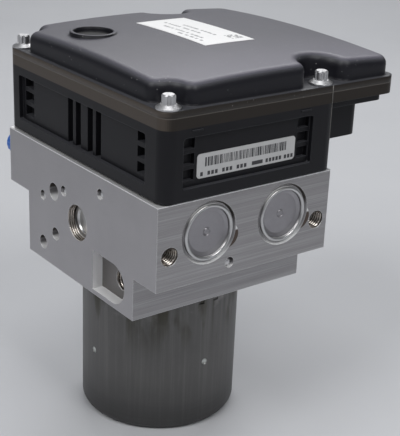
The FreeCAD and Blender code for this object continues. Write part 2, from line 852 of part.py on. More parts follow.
def motor_shaft():
    """Shaft with the eccentric journal turned on it, thrown towards -Y."""
    pin = rod("ShaftPin", S.shaft_radius, SHAFT_TOP - S.shaft_low, 0, 0, S.shaft_low)
    tall = S.eccentric_ring_tall + 3.0
    journal = rod("EccentricJournal", S.eccentric_journal, tall, 0, -S.eccentric_throw,
                  PUMP_LEVEL - tall / 2)
    node(fused("Shaft", [pin, journal]), "motor_shaft")


def eccentric_ring():
    """Needle bearing ring that the pistons ride on."""
    half = S.eccentric_ring_tall / 2
    node(tube("EccentricRing", S.eccentric_ring_outer, S.eccentric_journal + S.sliding_gap,
              PUMP_LEVEL - half, PUMP_LEVEL + half, 0, -S.eccentric_throw), "eccentric_ring")


def bearings():
    """Ball bearings at both ends of the armature and a bush above the eccentric."""
    main_low, main_high = MAIN_BEARING, MAIN_BEARING + S.bearing_width
    end_low = S.can_floor / 2
    end_high = end_low + S.bearing_width
    race = S.bearing_race
    outer = [tube("MainOuterRace", S.bearing_outer, S.bearing_outer - race, main_low, main_high),
             tube("EndOuterRace", S.end_bearing_outer, S.end_bearing_outer - race / 2,
                  end_low, end_high),
             tube("TopBush", S.top_bush_outer, S.shaft_radius + S.sliding_gap,
                  CHAMBER_TOP, CHAMBER_TOP + S.top_bush_tall)]
    node(group("OuterRaces", outer), "bearing_outer_rings")
    inner = [tube("MainInnerRace", S.shaft_radius + race, S.shaft_radius, main_low, main_high),
             tube("EndInnerRace", S.shaft_radius + race / 2, S.shaft_radius,
                  S.shaft_low, end_high)]
    node(group("InnerRaces", inner), "bearing_inner_rings")
    node(group("Balls", ball_row("Main", 7, S.shaft_radius + race, S.bearing_outer - race,
                                 (main_low + main_high) / 2)
               + ball_row("End", 7, S.shaft_radius + race / 2, S.end_bearing_outer - race / 2,
                          (S.shaft_low + end_high) / 2)), "bearing_balls")


def ball_row(name, count, inner, outer, level):
    """Balls that run between the two races."""
    middle = (inner + outer) / 2
    radius = (outer - inner) / 2 - S.sliding_gap
    balls = []
    for index in range(count):
        ball = doc.addObject("Part::Sphere", f"{name}Ball{index}")
        bind(ball, "Radius", radius)
        x, y = around(360 / count * index, middle)
        balls.append(place(ball, x, y, level))
    return balls


def motor_end_plate():
    """Steel flange that closes the can, with the bearing seat as a spigot."""
    inner = S.can_radius - S.can_wall
    seat_low, seat_high = MAIN_BEARING, MAIN_BEARING + S.bearing_width
    plate = turned("EndPlate", [
        (S.shaft_radius + 1.5, PLATE_LOW), (inner, PLATE_LOW), (inner, BLOCK_LOW),
        (S.chamber_radius, BLOCK_LOW), (S.chamber_radius, seat_high),
        (S.bearing_outer, seat_high), (S.bearing_outer, seat_low),
        (S.shaft_radius + 1.5, seat_low)])
    holes = [rod(f"PlateHole{index}", S.screw_shank, S.end_plate_thickness + 2, x, y,
                 PLATE_LOW - 1) for index, (x, y) in enumerate(MOTOR_SCREWS, start=1)]
    holes.append(rod("PlateTerminalHole", S.terminal_bore, S.end_plate_thickness + 2, 0,
                     -TERMINAL, PLATE_LOW - 1))
    node(cut("DrilledEndPlate", plate, group("PlateHoles", holes)), "motor_end_plate")
    head, cap = S.motor_screw_head, -S.motor_screw_cap
    grip = S.end_plate_thickness + S.motor_screw_grip
    screw = turned("MotorScrew", [(0, cap), (head, cap), (head, 0), (S.screw_shank, 0),
                                  (S.screw_shank, grip), (0, grip)])
    spots = [(x, y, PLATE_LOW) for x, y in MOTOR_SCREWS]
    node(group("MotorScrews", copies("MotorScrewAt", screw, spots)), "motor_screws")


def brush_gear():
    """Brush plate with two holders, the carbon brushes and their springs."""
    inner = S.can_radius - S.can_wall
    low, top = BRUSH_PLATE_LOW, BRUSH_PLATE_LOW + S.brush_plate_thickness
    disc = tube("BrushDisc", inner, S.commutator_radius + 2.5, low, top)
    start = S.commutator_radius + 2.5
    reach = inner - 1.5 - S.brush_box_clear - start
    walls = []
    for side in (-1, 1):
        block = bar(f"BrushBox{side + 1}", reach, S.brush_wide + 2.4, S.brush_tall + 1.2,
                    (start + reach / 2) * side, 0, top)
        guide = bar(f"BrushGuide{side + 1}", reach + 2, S.brush_wide + S.sliding_gap * 2,
                    S.brush_tall + S.sliding_gap * 2, (start + reach / 2 - 2.2) * side, 0, top)
        walls.append(cut(f"BrushHolder{side + 1}", block, guide))
    plate = fused("BrushPlateSolid", [disc] + walls)
    feet = [rod(f"ScrewClear{index}", S.motor_screw_head + 0.8, 12.0, x, y, low - 1) for index, (x, y) in
            enumerate(MOTOR_SCREWS, start=1)]
    rim = tube("BrushPlateRim", inner, inner - 1.5, top, PLATE_LOW)
    node(cut("BrushPlate", fused("BrushPlateRimmed", [plate, rim]), group("Feet", feet)),
         "brush_plate")
    back = S.commutator_radius + S.sliding_gap + S.brush_long
    carbon = doc.addObject("Part::Box", "CarbonBrush")
    bind(carbon, "Length", S.brush_long)
    bind(carbon, "Width", S.brush_wide)
    bind(carbon, "Height", S.brush_tall)
    place(carbon, S.commutator_radius + S.sliding_gap, -S.brush_wide / 2, top + S.sliding_gap)
    node(carbon, "brush_right")
    node(mirrored("CarbonBrushLeft", carbon), "brush_left")
    wire = 0.3
    coil = spring("BrushSpring", S.brush_wide / 2 - 0.6, wire, start + reach - back - 1.2, 4,
                  back + wire, 0, BRUSH_LEVEL, TO_RIGHT)
    node(coil, "brush_spring_right")
    node(mirrored("BrushSpringLeft", coil), "brush_spring_left")


def motor_terminals():
    """Two blades from the brush plate through the block to the circuit board."""
    low = BRUSH_PLATE_LOW + S.brush_plate_thickness
    blades = [bar(f"Blade{side + 1}", 1.0, 3.0, BOARD_LOW - low, side * 1.8,
                  -TERMINAL, low) for side in (-1, 1)]
    carrier = rod("BladeCarrier", S.terminal_bore, 6.0, 0, -TERMINAL, BLOCK_TOP - 6.0)
    node(fused("Terminals", blades + [carrier]), "motor_terminals")


def pumps():
    """One pump element each side; the tip stands clear of the ring by the open gap."""
    gap = S.eccentric_throw + 0.1
    tip = S.eccentric_ring_outer + gap
    start, end = S.pump_cylinder_start, PUMP_END
    tail = end - S.pump_spring_room
    bore = S.pump_piston_radius + S.sliding_gap / 2
    sleeve = turned("PumpSleeve", [
        (bore, start), (S.pump_bore - 1.2, start), (S.pump_bore - 1.2, start + 3),
        (S.pump_bore, start + 3), (S.pump_bore, end), (bore, end)], turn=TO_RIGHT,
        z=PUMP_LEVEL)
    node(group("PumpSleeves", [sleeve, mirrored("PumpSleeveLeft", sleeve)]), "pump_cylinders")
    piston = turned("PumpPiston", [
        (0, tip), (S.pump_piston_radius - 0.5, tip), (S.pump_piston_radius, tip + 0.5),
        (S.pump_piston_radius, tail), (0, tail)],
        turn=TO_RIGHT, z=PUMP_LEVEL)
    node(piston, "pump_piston_right")
    node(mirrored("PumpPistonLeft", piston), "pump_piston_left")
    plug_end = HALF - S.pump_plug_recess
    plug = turned("PumpPlug", [
        (0, end), (S.pump_bore, end), (S.pump_bore, plug_end - 0.5),
        (S.pump_bore - 0.5, plug_end), (S.pump_bore - 2.2, plug_end),
        (S.pump_bore - 2.8, plug_end - 0.7), (0, plug_end - 0.7)], turn=TO_RIGHT,
        z=PUMP_LEVEL)
    node(group("PumpPlugs", [plug, mirrored("PumpPlugLeft", plug)]), "pump_plugs")
    wire = 0.35
    coil = spring("PumpSpring", S.pump_piston_radius - 0.8, wire, end - tail, 4,
                  tail + wire, 0, PUMP_LEVEL, TO_RIGHT)
    node(coil, "pump_spring_right")
    node(mirrored("PumpSpringLeft", coil), "pump_spring_left")


def accumulators():
    """Low-pressure accumulators: cup piston, spring and crimped cap."""
    x, z = S.accumulator_spread / 2, ACCUMULATOR_LEVEL
    seat = S.accumulator_depth - S.free_gap
    skirt = S.accumulator_skirt
    radius = S.accumulator_bore - S.sliding_gap
    cap_in = S.accumulator_recess + S.accumulator_cap
    cap = turned("AccumulatorCap", [
        (0, S.accumulator_recess), (1.1, S.accumulator_recess), (1.5, S.accumulator_recess + 0.4),
        (2.0, S.accumulator_recess), (S.accumulator_bore - 1.6, S.accumulator_recess),
        (S.accumulator_bore, S.accumulator_recess - 0.8), (S.accumulator_bore, cap_in),
        (0, cap_in)], x, -S.block_front, z, TO_BACK)
    node(group("AccumulatorCaps", [cap, mirrored("AccumulatorCapLeft", cap)]), "accumulator_caps")
    piston = turned("AccumulatorPiston", [
        (0, seat), (0, seat - 2.5), (radius - 2.2, seat - 2.5), (radius - 2.2, seat - skirt),
        (radius, seat - skirt), (radius, seat)], x, -S.block_front, z, TO_BACK)
    node(piston, "accumulator_piston_right")
    node(mirrored("AccumulatorPistonLeft", piston), "accumulator_piston_left")
    wire = 0.6
    coil = spring("AccumulatorSpring", radius - 3.6, wire, seat - 2.5 - cap_in, 4,
                  x, cap_in + wire - S.block_front, z, TO_BACK)
    node(coil, "accumulator_spring_right")
    node(mirrored("AccumulatorSpringLeft", coil), "accumulator_spring_left")


def ball_plugs():
    """Steel balls pressed into the sealed drillings."""
    balls = []

    def ball(name, x, y, z):
        piece = doc.addObject("Part::Sphere", name)
        bind(piece, "Radius", S.small_drill)
        balls.append(place(piece, x, y, z))

    depth = S.small_drill + S.ball_recess
    for index, (y, z) in enumerate(SEALED, start=1):
        for name, x in (("Left", depth - HALF), ("Right", HALF - depth)):
            ball(f"{name}Ball{index}", x, y, z)
    ball("FrontBall", FRONT_DRILL[0], depth - S.block_front, FRONT_DRILL[1])
    node(group("SealBalls", balls), "ball_plugs")


def port_plugs():
    """Moulded transit plugs in the six brake-line ports."""
    radius = S.port_radius
    grip = [(S.plug_head_radius, 1.2), (S.plug_head_radius - 1.0, 1.6),
            (S.plug_head_radius - 1.0, S.plug_head_long - 0.8),
            (S.plug_head_radius - 1.8, S.plug_head_long)]
    head = [(0, -7.0), (radius - 0.8, -7.0), (radius, -6.0), (radius, 0),
            (S.plug_head_radius, 0)] + grip
    hollow = [(2.6, S.plug_head_long), (2.6, 1.0), (0, 1.0)]
    plug = turned("PortPlug", head + hollow)
    wheels = copies("WheelPlug", plug, [(x, S.block_back, PORT_LEVEL) for x in PORTS], TO_BACK)
    masters = copies("MasterPlug", plug, [(x, S.master_port_back, BLOCK_TOP - S.back_slab)
                                          for x in MASTER_PORTS], DOWN)
    node(group("PortPlugs", wheels + masters), "port_plugs")


def valves():
    """Twelve solenoid valves: bodies staked in the block, armatures in their domes."""
    low, bore = BLOCK_TOP - S.valve_depth, S.armature_radius + S.sliding_gap
    shell = turned("ValveBody", [
        (0.6, low), (S.valve_radius - 0.8, low), (S.valve_radius - 0.8, low + 5),
        (S.valve_radius, low + 5), (S.valve_radius, BLOCK_TOP),
        (S.dome_radius, BLOCK_TOP), (S.dome_radius, DOME_TOP - 0.8),
        (S.dome_radius - 0.8, DOME_TOP), (0, DOME_TOP), (0, DOME_TOP - 1),
        (bore, DOME_TOP - 1), (bore, low + 6), (0.6, low + 6)])
    rows = (("changeover_valve_bodies", "Changeover"), ("inlet_valve_bodies", "Inlet"),
            ("outlet_valve_bodies", "Outlet"))
    for (label, name), y in zip(rows, VALVE_Y):
        node(group(name + "Bodies", copies(name + "Body", shell, [(x, y, 0) for x in VALVE_X])),
             label)
    seat = low + 6 + S.free_gap + S.valve_travel
    armature = turned("ValveArmature", [
        (0, seat), (1.4, seat), (2.0, seat + 3), (2.0, seat + 8), (S.armature_radius, seat + 9),
        (S.armature_radius, DOME_TOP - 1 - S.free_gap - S.valve_travel),
        (0, DOME_TOP - 1 - S.free_gap - S.valve_travel)])
    names = (("suction_armature_1", "changeover_armature_1", "changeover_armature_2",
              "suction_armature_2"),
             tuple(f"inlet_armature_{index}" for index in (1, 2, 3, 4)),
             tuple(f"outlet_armature_{index}" for index in (1, 2, 3, 4)))
    for row, y in zip(names, VALVE_Y):
        for label, x in zip(row, VALVE_X):
            link = copies(label, armature, [(x, y, 0)])[0]
            node(group(label + "_piece", [link]), label)


def coils():
    """Solenoid coils round the valve domes, each with a steel yoke and two pins."""
    low = HOUSE_LOW + S.floor_thickness
    sheet_in = S.coil_outer - S.coil_sheet
    spots = [(x, y, 0) for y in VALVE_Y for x in VALVE_X]
    yoke = turned("Yoke", [
        (S.coil_inner, low), (S.coil_outer, low), (S.coil_outer, COIL_TOP),
        (S.coil_inner, COIL_TOP), (S.coil_inner, COIL_TOP - S.coil_sheet),
        (sheet_in, COIL_TOP - S.coil_sheet), (sheet_in, low + S.coil_sheet),
        (S.coil_inner, low + S.coil_sheet)])
    node(group("Yokes", copies("YokeAt", yoke, spots)), "coil_yokes")
    winding = tube("Winding", sheet_in, S.coil_inner, low + S.coil_sheet,
                   COIL_TOP - S.coil_sheet)
    collar = tube("PinCollar", S.coil_outer - 1.6, S.coil_inner, COIL_TOP, COIL_TOP + 1.2)
    pins = [bar(f"CoilPin{side + 1}", 0.8, 0.8, BOARD_LOW - COIL_TOP, side * 5.4, 0,
                COIL_TOP) for side in (-1, 1)]
    terminal = fused("CoilTerminal", [collar] + pins)
    node(group("CoilWindings", copies("WindingAt", winding, spots)
               + copies("CoilTerminalAt", terminal, spots)), "coil_windings")


def pressure_sensor():
    top = BOARD_LOW
    node(turned("PressureSensor", [
        (0, BLOCK_TOP - 6), (S.sensor_radius, BLOCK_TOP - 6), (S.sensor_radius, BLOCK_TOP + 6),
        (S.sensor_radius - 1.2, BLOCK_TOP + 7), (S.sensor_radius - 1.2, top), (0, top)],
        0, S.sensor_back), "pressure_sensor")


def housing_gasket():
    """Flat seal between the block and the housing."""
    frame = body("HousingGasket")
    face = sketch_on(frame, "GasketOutline", "XY_Plane", BLOCK_TOP)
    inset = 1.5
    draw_rounded(face, inset - S.ecu_left, S.house_right - inset, inset - S.ecu_front,
                 S.block_back - inset, S.ecu_corner - inset)
    land = S.screw_hole + S.screw_gasket_land
    draw_rounded(face, land - S.screw_left, S.screw_right - land, land + 5 - S.screw_front,
                 S.sensor_back + S.sensor_radius + 0.8, 4.0)
    pad(frame, face, S.gasket_thickness)
    holes = sketch_on(frame, "GasketHoles", "XY_Plane", BLOCK_TOP)
    for spot in SCREWS:
        draw_circle(holes, spot, S.screw_hole)
    pocket(frame, holes, S.gasket_thickness, backwards=True)
    node(frame, "housing_gasket")


def connector_pin_spots():
    middle = (S.shroud_left + S.shroud_right) / 2
    start = -S.shroud_front + S.shroud_wall + 5.0
    return [(middle + S.pin_pitch * across, start + S.pin_pitch * along)
            for along in range(17) for across in (-1, 0, 1)]


def connector_pins():
    """Three rows of square pins through the roof of the plug socket."""
    low = SHROUD_LOW + 4.0
    pin = bar("ConnectorPin", S.pin_width, S.pin_width, BOARD_LOW - low)
    half = S.pin_width / 2
    spots = [(x - half, y - half, low) for x, y in connector_pin_spots()]
    return node(group("ConnectorPins", copies("PinAt", pin, spots)), "connector_pins")


def ecu_housing(pins):
    """Moulded housing: coil room, board room, rim, plug shroud, relief and screw pillars."""
    house = body("HousingBody")
    left, right = -S.ecu_left, S.ecu_right
    front, back = -S.ecu_front, S.ecu_back
    walls = sketch_on(house, "HouseOutline", "XY_Plane", HOUSE_LOW)
    draw_rounded(walls, left, S.house_right, front, back, S.ecu_corner)
    pad(house, walls, RIM_LOW - HOUSE_LOW)
    shroud = sketch_on(house, "ShroudOutline", "XY_Plane", SHROUD_LOW)
    draw_rounded(shroud, S.shroud_left, S.shroud_right, -S.shroud_front, S.shroud_back,
                 S.shroud_corner)
    pad(house, shroud, RIM_LOW - SHROUD_LOW)
    ledge = sketch_on(house, "LedgeOutline", "XY_Plane", RIM_LOW - S.ledge_tall)
    draw_rounded(ledge, left + S.ledge_inset + 8, S.ledge_right, front + S.ledge_inset,
                 back - S.ledge_inset, S.ecu_corner - S.ledge_inset)
    pad(house, ledge, S.ledge_tall)
    rim = sketch_on(house, "RimOutline", "XY_Plane", RIM_LOW)
    draw_rounded(rim, left, right, front, back, S.ecu_corner)
    pad(house, rim, S.rim_lower)
    hollow_housing(house)
    relieve_sides(house)
    relieve_ends(house)
    node(cut("EcuHousing", house, pins), "ecu_housing")


def hollow_housing(house):
    wall = S.wall + 1.0
    board = sketch_on(house, "BoardRoom", "XY_Plane", RIM_PART)
    draw_rounded(board, wall - S.ecu_left, S.ecu_right - wall, wall - S.ecu_front,
                 S.ecu_back - wall, S.ecu_corner - wall)
    pocket(house, board, RIM_PART - BOARD_LOW)
    coil = sketch_on(house, "CoilRoom", "XY_Plane", BOARD_LOW)
    draw_rounded(coil, -S.coil_room_left, S.coil_room_right, wall + 2.2 - S.ecu_front,
                 S.ecu_back - wall - 2.2, 3.0)
    pocket(house, coil, BOARD_LOW - HOUSE_LOW - S.floor_thickness)
    pillars = sketch_on(house, "ScrewPillars", "XY_Plane", HOUSE_LOW)
    for spot in SCREWS:
        draw_circle(pillars, spot, S.pillar_radius)
    pad(house, pillars, RIM_PART - HOUSE_LOW)
    holes = sketch_on(house, "PillarHoles", "XY_Plane", RIM_PART)
    for spot in SCREWS:
        draw_circle(holes, spot, S.screw_hole)
    pocket(house, holes, RIM_PART - HOUSE_LOW)
    domes = sketch_on(house, "DomeHoles", "XY_Plane", HOUSE_LOW + S.floor_thickness)
    for x in VALVE_X:
        for y in VALVE_Y:
            draw_circle(domes, (x, y), S.dome_radius + S.free_gap)
    draw_circle(domes, (0, S.sensor_back), S.sensor_radius + S.free_gap)
    draw_circle(domes, (0, -TERMINAL), S.terminal_bore)
    pocket(house, domes, S.floor_thickness)
    socket = sketch_on(house, "PlugSocket", "XY_Plane", SHROUD_LOW)
    thin = S.shroud_wall
    draw_rounded(socket, S.shroud_left + thin, S.shroud_right - thin, thin - S.shroud_front,
                 S.shroud_back - thin, S.shroud_corner - thin)
    pocket(house, socket, RIM_LOW - S.ledge_tall - SHROUD_LOW - 0.6, backwards=True)


def windows(sketch, left, right):
    """A column of three square recesses, one above the other."""
    for index in range(3):
        high = WINDOW_TOP - S.window_pitch * index
        draw_box(sketch, left, right, high - S.window_tall, high)


def relieve_sides(house):
    """Relief, ribbed grooves and window columns on the left face."""
    relief = sketch_on(house, "SideRelief", "YZ_Plane", -S.ecu_left)
    draw_rounded(relief, -S.side_relief_front, S.side_relief_back, RELIEF_LOW, RELIEF_HIGH,
                 1.2)
    pocket(house, relief, S.relief_depth, backwards=True)
    deep = sketch_on(house, "SideWindows", "YZ_Plane", -S.ecu_left)
    windows(deep, 0.6 - S.side_relief_front, 0.6 + S.side_window - S.side_relief_front)
    windows(deep, S.side_relief_back - S.side_window - 2.6, S.side_relief_back - 2.6)
    for pair in (-S.groove_pair, S.groove_pair):
        for half in (-S.groove_half, S.groove_half):
            middle = pair + half
            draw_box(deep, middle - S.groove_width / 2, middle + S.groove_width / 2,
                     RELIEF_LOW, RELIEF_HIGH - 0.8)
    pocket(house, deep, S.relief_depth + S.window_deep, backwards=True)


def relieve_ends(house):
    """Relief and window columns on the front and back faces."""
    left, right = -S.front_relief_left, S.front_relief_right
    for name, offset, backwards in (("Front", S.ecu_front, False), ("Back", -S.ecu_back, True)):
        relief = sketch_on(house, name + "Relief", "XZ_Plane", offset)
        draw_rounded(relief, left, right, RELIEF_LOW, RELIEF_HIGH, 1.2)
        pocket(house, relief, S.relief_depth, backwards)
        deep = sketch_on(house, name + "Windows", "XZ_Plane", offset)
        windows(deep, left + 0.6, left + 0.6 + S.front_window)
        windows(deep, right - 0.6 - S.front_window, right - 0.6)
        pocket(house, deep, S.relief_depth + S.window_deep - 1.0, backwards)


COVER_X = (S.ecu_right - S.ecu_left) / 2
COVER_Y = (S.ecu_back - S.ecu_front) / 2
NOTCHES = [S.notch_left, S.notch_right, S.notch_right, S.notch_left]
BLENDS = [S.blend_left, S.blend_right, S.blend_right, S.blend_left]


def cover_form(name, inset, crown, sphere, shoulder=None):
    """Domed form with a scallop at each screw; the inner one is the cavity."""
    form = body(name)
    grow = inset - S.cover_inset
    tall = CROWN - RIM_PART + 3
    outline = sketch_on(form, name + "Outline", "XY_Plane", RIM_PART)
    draw_rounded(outline, inset - S.ecu_left, S.ecu_right - S.cover_inset_right - grow,
                 inset - S.ecu_front, S.ecu_back - inset, S.cover_corner - grow)
    pad(form, outline, tall)
    for (x, y), notch in zip(SCREWS, NOTCHES):
        bitten = form.newObject("PartDesign::SubtractiveCylinder", name + "Scallop")
        bind(bitten, "Radius", notch + grow)
        bind(bitten, "Height", tall)
        outward = math.copysign(90, number(y))
        place(bitten, x, y, RIM_PART, Rotation(Vector(0, 0, 1), outward))
    for side in (0, 1):
        doc.recompute()
        blend = form.newObject("PartDesign::Fillet", name + "Blends")
        blend.Base = (bitten, upright_edges(bitten.Shape, grow, (side, 3 - side)))
        bind(blend, "Radius", BLENDS[side] * BLENDS[side] / (BLENDS[side] + grow))
        bitten = blend
    dome = sketch_on(form, name + "Dome", "XZ_Plane", -COVER_Y, COVER_X)
    draw_dome(dome, crown, sphere, CROWN + 20)
    domed = revolve(form, dome, "PartDesign::Groove")
    if shoulder:
        doc.recompute()
        soft = form.newObject("PartDesign::Fillet", name + "Shoulder")
        soft.Base = (domed, dome_edges(domed.Shape, sphere))
        bind(soft, "Radius", shoulder)
    return form


def upright_edges(shape, grow, corners):
    """Vertical edges where the scallops of these corners meet the outside walls."""
    names = []
    for index, edge in enumerate(shape.Edges, start=1):
        if len(edge.Vertexes) < 2 or not isinstance(edge.Curve, Part.Line):
            continue
        if abs(edge.Curve.Direction.z) < 0.99:
            continue
        spot = edge.Vertexes[0].Point
        for (x, y), notch in [(SCREWS[corner], NOTCHES[corner]) for corner in corners]:
            reach = math.hypot(spot.x - number(x), spot.y - number(y))
            if abs(reach - number(notch + grow)) < 1e-4:
                names.append(f"Edge{index}")
    return names


def dome_edges(shape, sphere):
    """Edges round the domed top face, without its seam and pole."""
    for face in shape.Faces:
        surface = face.Surface
        if isinstance(surface, Part.Sphere) and abs(surface.Radius - sphere.value) < 1e-3:
            rim = {edge.hashCode() for edge in face.Edges
                   if not edge.Degenerated and not edge.isSeam(face)}
            return [f"Edge{index}" for index, edge in enumerate(shape.Edges, start=1)
                    if edge.hashCode() in rim]
    raise ValueError("dome face not found")


def draw_dome(sketch, crown, sphere, high):
    """Everything above a large arc whose centre is on the sketch's upright axis."""
    reach = 110.0
    side = math.degrees(math.acos(reach / sphere.value))
    first = sketch.GeometryCount
    sketch.addGeometry(arc((0, crown - sphere), sphere, side, 90), False)
    low = number(crown) - sphere.value + sphere.value * math.sin(math.radians(side))
    spots = [(0, number(crown)), (0, high), (reach, high), (reach, low)]
    for start, end in zip(spots, spots[1:]):
        sketch.addGeometry(Part.LineSegment(flat(start), flat(end)), False)
    for kind, *items in (("Coincident", first, 2, first + 1, 1),
                         ("Coincident", first + 1, 2, first + 2, 1),
                         ("Coincident", first + 2, 2, first + 3, 1),
                         ("Coincident", first + 3, 2, first, 1),
                         ("PointOnObject", first, 2, -2), ("Vertical", first + 1),
                         ("Horizontal", first + 2), ("Vertical", first + 3)):
        sketch.addConstraint(Sketcher.Constraint(kind, *items))
    hold(sketch, first, 3, (0, crown - sphere))
    constrain(sketch, sphere, "Radius", first)
    constrain(sketch, high, "DistanceY", -1, 1, first + 1, 2)
    constrain(sketch, reach, "DistanceX", -1, 1, first + 2, 2)


def ecu_cover():
    """Flange, domed wall and breather collar, hollow inside."""
    flange = body("CoverFlange")
    plate = sketch_on(flange, "FlangeOutline", "XY_Plane", RIM_PART)
    draw_rounded(plate, -S.ecu_left, S.ecu_right, -S.ecu_front, S.ecu_back, S.ecu_corner)
    for spot in SCREWS:
        draw_circle(plate, spot, S.screw_hole)
    pad(flange, plate, S.rim_upper)
    outer = cover_form("CoverShape", S.cover_inset, CROWN, S.dome_sphere,
                       S.cover_shoulder)
    inner = cover_form("CoverCavity", S.cover_inset + S.cover_wall,
                       CROWN - S.cover_wall, S.dome_sphere - S.cover_wall)
    x, y = -S.breather_x, S.breather_y
    top = CROWN - S.breather_drop
    collar = rod("BreatherCollar", S.breather_radius, top - RIM_TOP, x, y, RIM_TOP)
    shell = cut("CoverShell", fused("CoverSolid", [flange, outer, collar]), inner)
    floor = top - S.breather_deep
    recess = rod("BreatherRecess", S.breather_bore, S.breather_deep + 1, x, y, floor)
    vent = rod("BreatherVent", 2.0, 14.0, x, y, floor - 12)
    node(cut("EcuCover", shell, group("BreatherCuts", [recess, vent])), "ecu_cover")
    node(rod("BreatherMembrane", S.breather_bore, 0.6, x, y, floor), "breather_membrane")


def labels():
    """Blank labels: one on the crown of the cover, one on the front relief."""
    sheet_box = bar("TopLabelBlank", S.top_label_wide, S.top_label_long, 20.0, S.top_label_x,
                    S.top_label_y, CROWN - 10)
    balls = []
    for name, radius in (("LabelBallOuter", S.dome_sphere + S.label_thickness),
                         ("LabelBallInner", S.dome_sphere)):
        ball = doc.addObject("Part::Sphere", name)
        bind(ball, "Radius", radius)
        balls.append(place(ball, COVER_X, COVER_Y, CROWN - S.dome_sphere))
    node(common("TopLabel", sheet_box, cut("LabelSkin", *balls)), "top_label")
    tag = body("SideLabel")
    face = sketch_on(tag, "SideLabelOutline", "XZ_Plane", S.ecu_front - S.relief_depth)
    wide, tall = S.side_label_wide / 2, S.side_label_tall / 2
    draw_rounded(face, -wide - S.side_label_x, wide - S.side_label_x, SIDE_LABEL_LEVEL - tall,
                 SIDE_LABEL_LEVEL + tall, 1.5)
    pad(tag, face, S.label_thickness)
    node(tag, "side_label")


# parts on the board: (x, y, wide, deep, tall)
CHIPS = [(-12, -20, 24, 24, 2.6), (16, -18, 14, 20, 2.2), (-14, 12, 12, 18, 2.2),
         (10, 12, 10, 10, 3.0), (30, 14, 16, 12, 2.4), (28, -40, 12, 8, 2.0),
         (-26, 34, 8, 12, 2.0), (56, 20, 12, 16, 2.4)]
# upright capacitors: (x, y, radius, tall)
CAPACITORS = [(24, 40, 5.0, 8.5), (38, 40, 5.0, 8.5), (58, -38, 4.0, 7.0), (58, 44, 4.0, 7.0)]


def circuit_board():
    edge = S.wall + 1.0 + S.board_gap
    plate = body("BoardPlate")
    face = sketch_on(plate, "BoardOutline", "XY_Plane", BOARD_LOW)
    draw_rounded(face, edge - S.ecu_left, S.ecu_right - edge, edge - S.ecu_front,
                 S.ecu_back - edge, S.ecu_corner - edge)
    pad(plate, face, S.board_thickness)
    clears = [rod(f"PillarClear{index}", S.pillar_radius + S.board_gap, S.board_thickness + 2,
                  x, y, BOARD_LOW - 1) for index, (x, y) in enumerate(SCREWS, start=1)]
    node(cut("CircuitBoard", plate, group("PillarClears", clears)), "circuit_board")
    parts = [bar(f"Chip{index}", wide, deep, tall, x, y, BOARD_TOP)
             for index, (x, y, wide, deep, tall) in enumerate(CHIPS, start=1)]
    parts += [rod(f"Capacitor{index}", radius, tall, x, y, BOARD_TOP)
              for index, (x, y, radius, tall) in enumerate(CAPACITORS, start=1)]
    node(group("BoardParts", parts), "board_components")


def ecu_screws():
    """Flanged screws with a six-lobed head, through cover and housing into the block."""
    grip = RIM_TOP - BLOCK_TOP + S.screw_grip
    screw = body("EcuScrew")
    profile = sketch_on(screw, "ScrewSection", "XZ_Plane")
    top = S.screw_flange_tall + S.screw_head_tall
    draw_polygon(profile, [
        (0, -grip), (S.screw_shank, -grip), (S.screw_shank, 0), (S.screw_flange, 0),
        (S.screw_flange, S.screw_flange_tall * 0.35), (S.screw_flange - 0.4,
                                                       S.screw_flange_tall * 0.5),
        (S.screw_head + 0.5, S.screw_flange_tall), (S.screw_head, S.screw_flange_tall),
        (S.screw_head, top - 0.5),
        (S.screw_head - 0.5, top), (0, top)])
    revolve(screw, profile)
    flute = screw.newObject("PartDesign::SubtractiveCylinder", "HeadFlute")
    bind(flute, "Radius", 0.75)
    bind(flute, "Height", S.screw_head_tall + 1)
    place(flute, S.screw_head + 0.15, 0, S.screw_flange_tall)
    ring = screw.newObject("PartDesign::PolarPattern", "HeadLobes")
    ring.Originals = [flute]
    axis = next(item for item in screw.Origin.OriginFeatures if item.Role == "Z_Axis")
    ring.Axis = (axis, [""])
    ring.Angle = 360
    ring.Occurrences = 6
    screw.Tip = ring
    node(group("EcuScrews", copies("EcuScrewAt", screw, [(x, y, RIM_TOP) for x, y in SCREWS])),
         "ecu_screws")


def build():
    hydraulic_block()
    motor_can()
    motor_magnets()
    armature_windings(armature_core())
    commutator()
    motor_shaft()
    eccentric_ring()
    bearings()
    motor_end_plate()
    brush_gear()
    motor_terminals()
    pumps()
    accumulators()
    ball_plugs()
    port_plugs()
    valves()
    coils()
    pressure_sensor()
    housing_gasket()
    ecu_housing(connector_pins())
    ecu_cover()
    labels()
    circuit_board()
    ecu_screws()


def faults():
    """Objects that failed to compute, or whose solid is missing or broken."""
    bad = [item.Name for item in doc.Objects
           if any(word in item.State for word in ("Invalid", "Error"))]
    for piece in NODES:
        if piece.Shape.isNull() or not piece.Shape.Solids or not piece.Shape.isValid():
            bad.append(piece.Label)
    return bad


build()
doc.recompute()
broken = faults()
if broken:
    raise SystemExit("not built: " + ", ".join(broken))
for piece in NODES:
    piece.Shape.exportStep(f"parts/{piece.Label}.step")
print(len(NODES), "nodes written")
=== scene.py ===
import math
import random

import bpy
import bmesh
from mathutils import Matrix, Vector


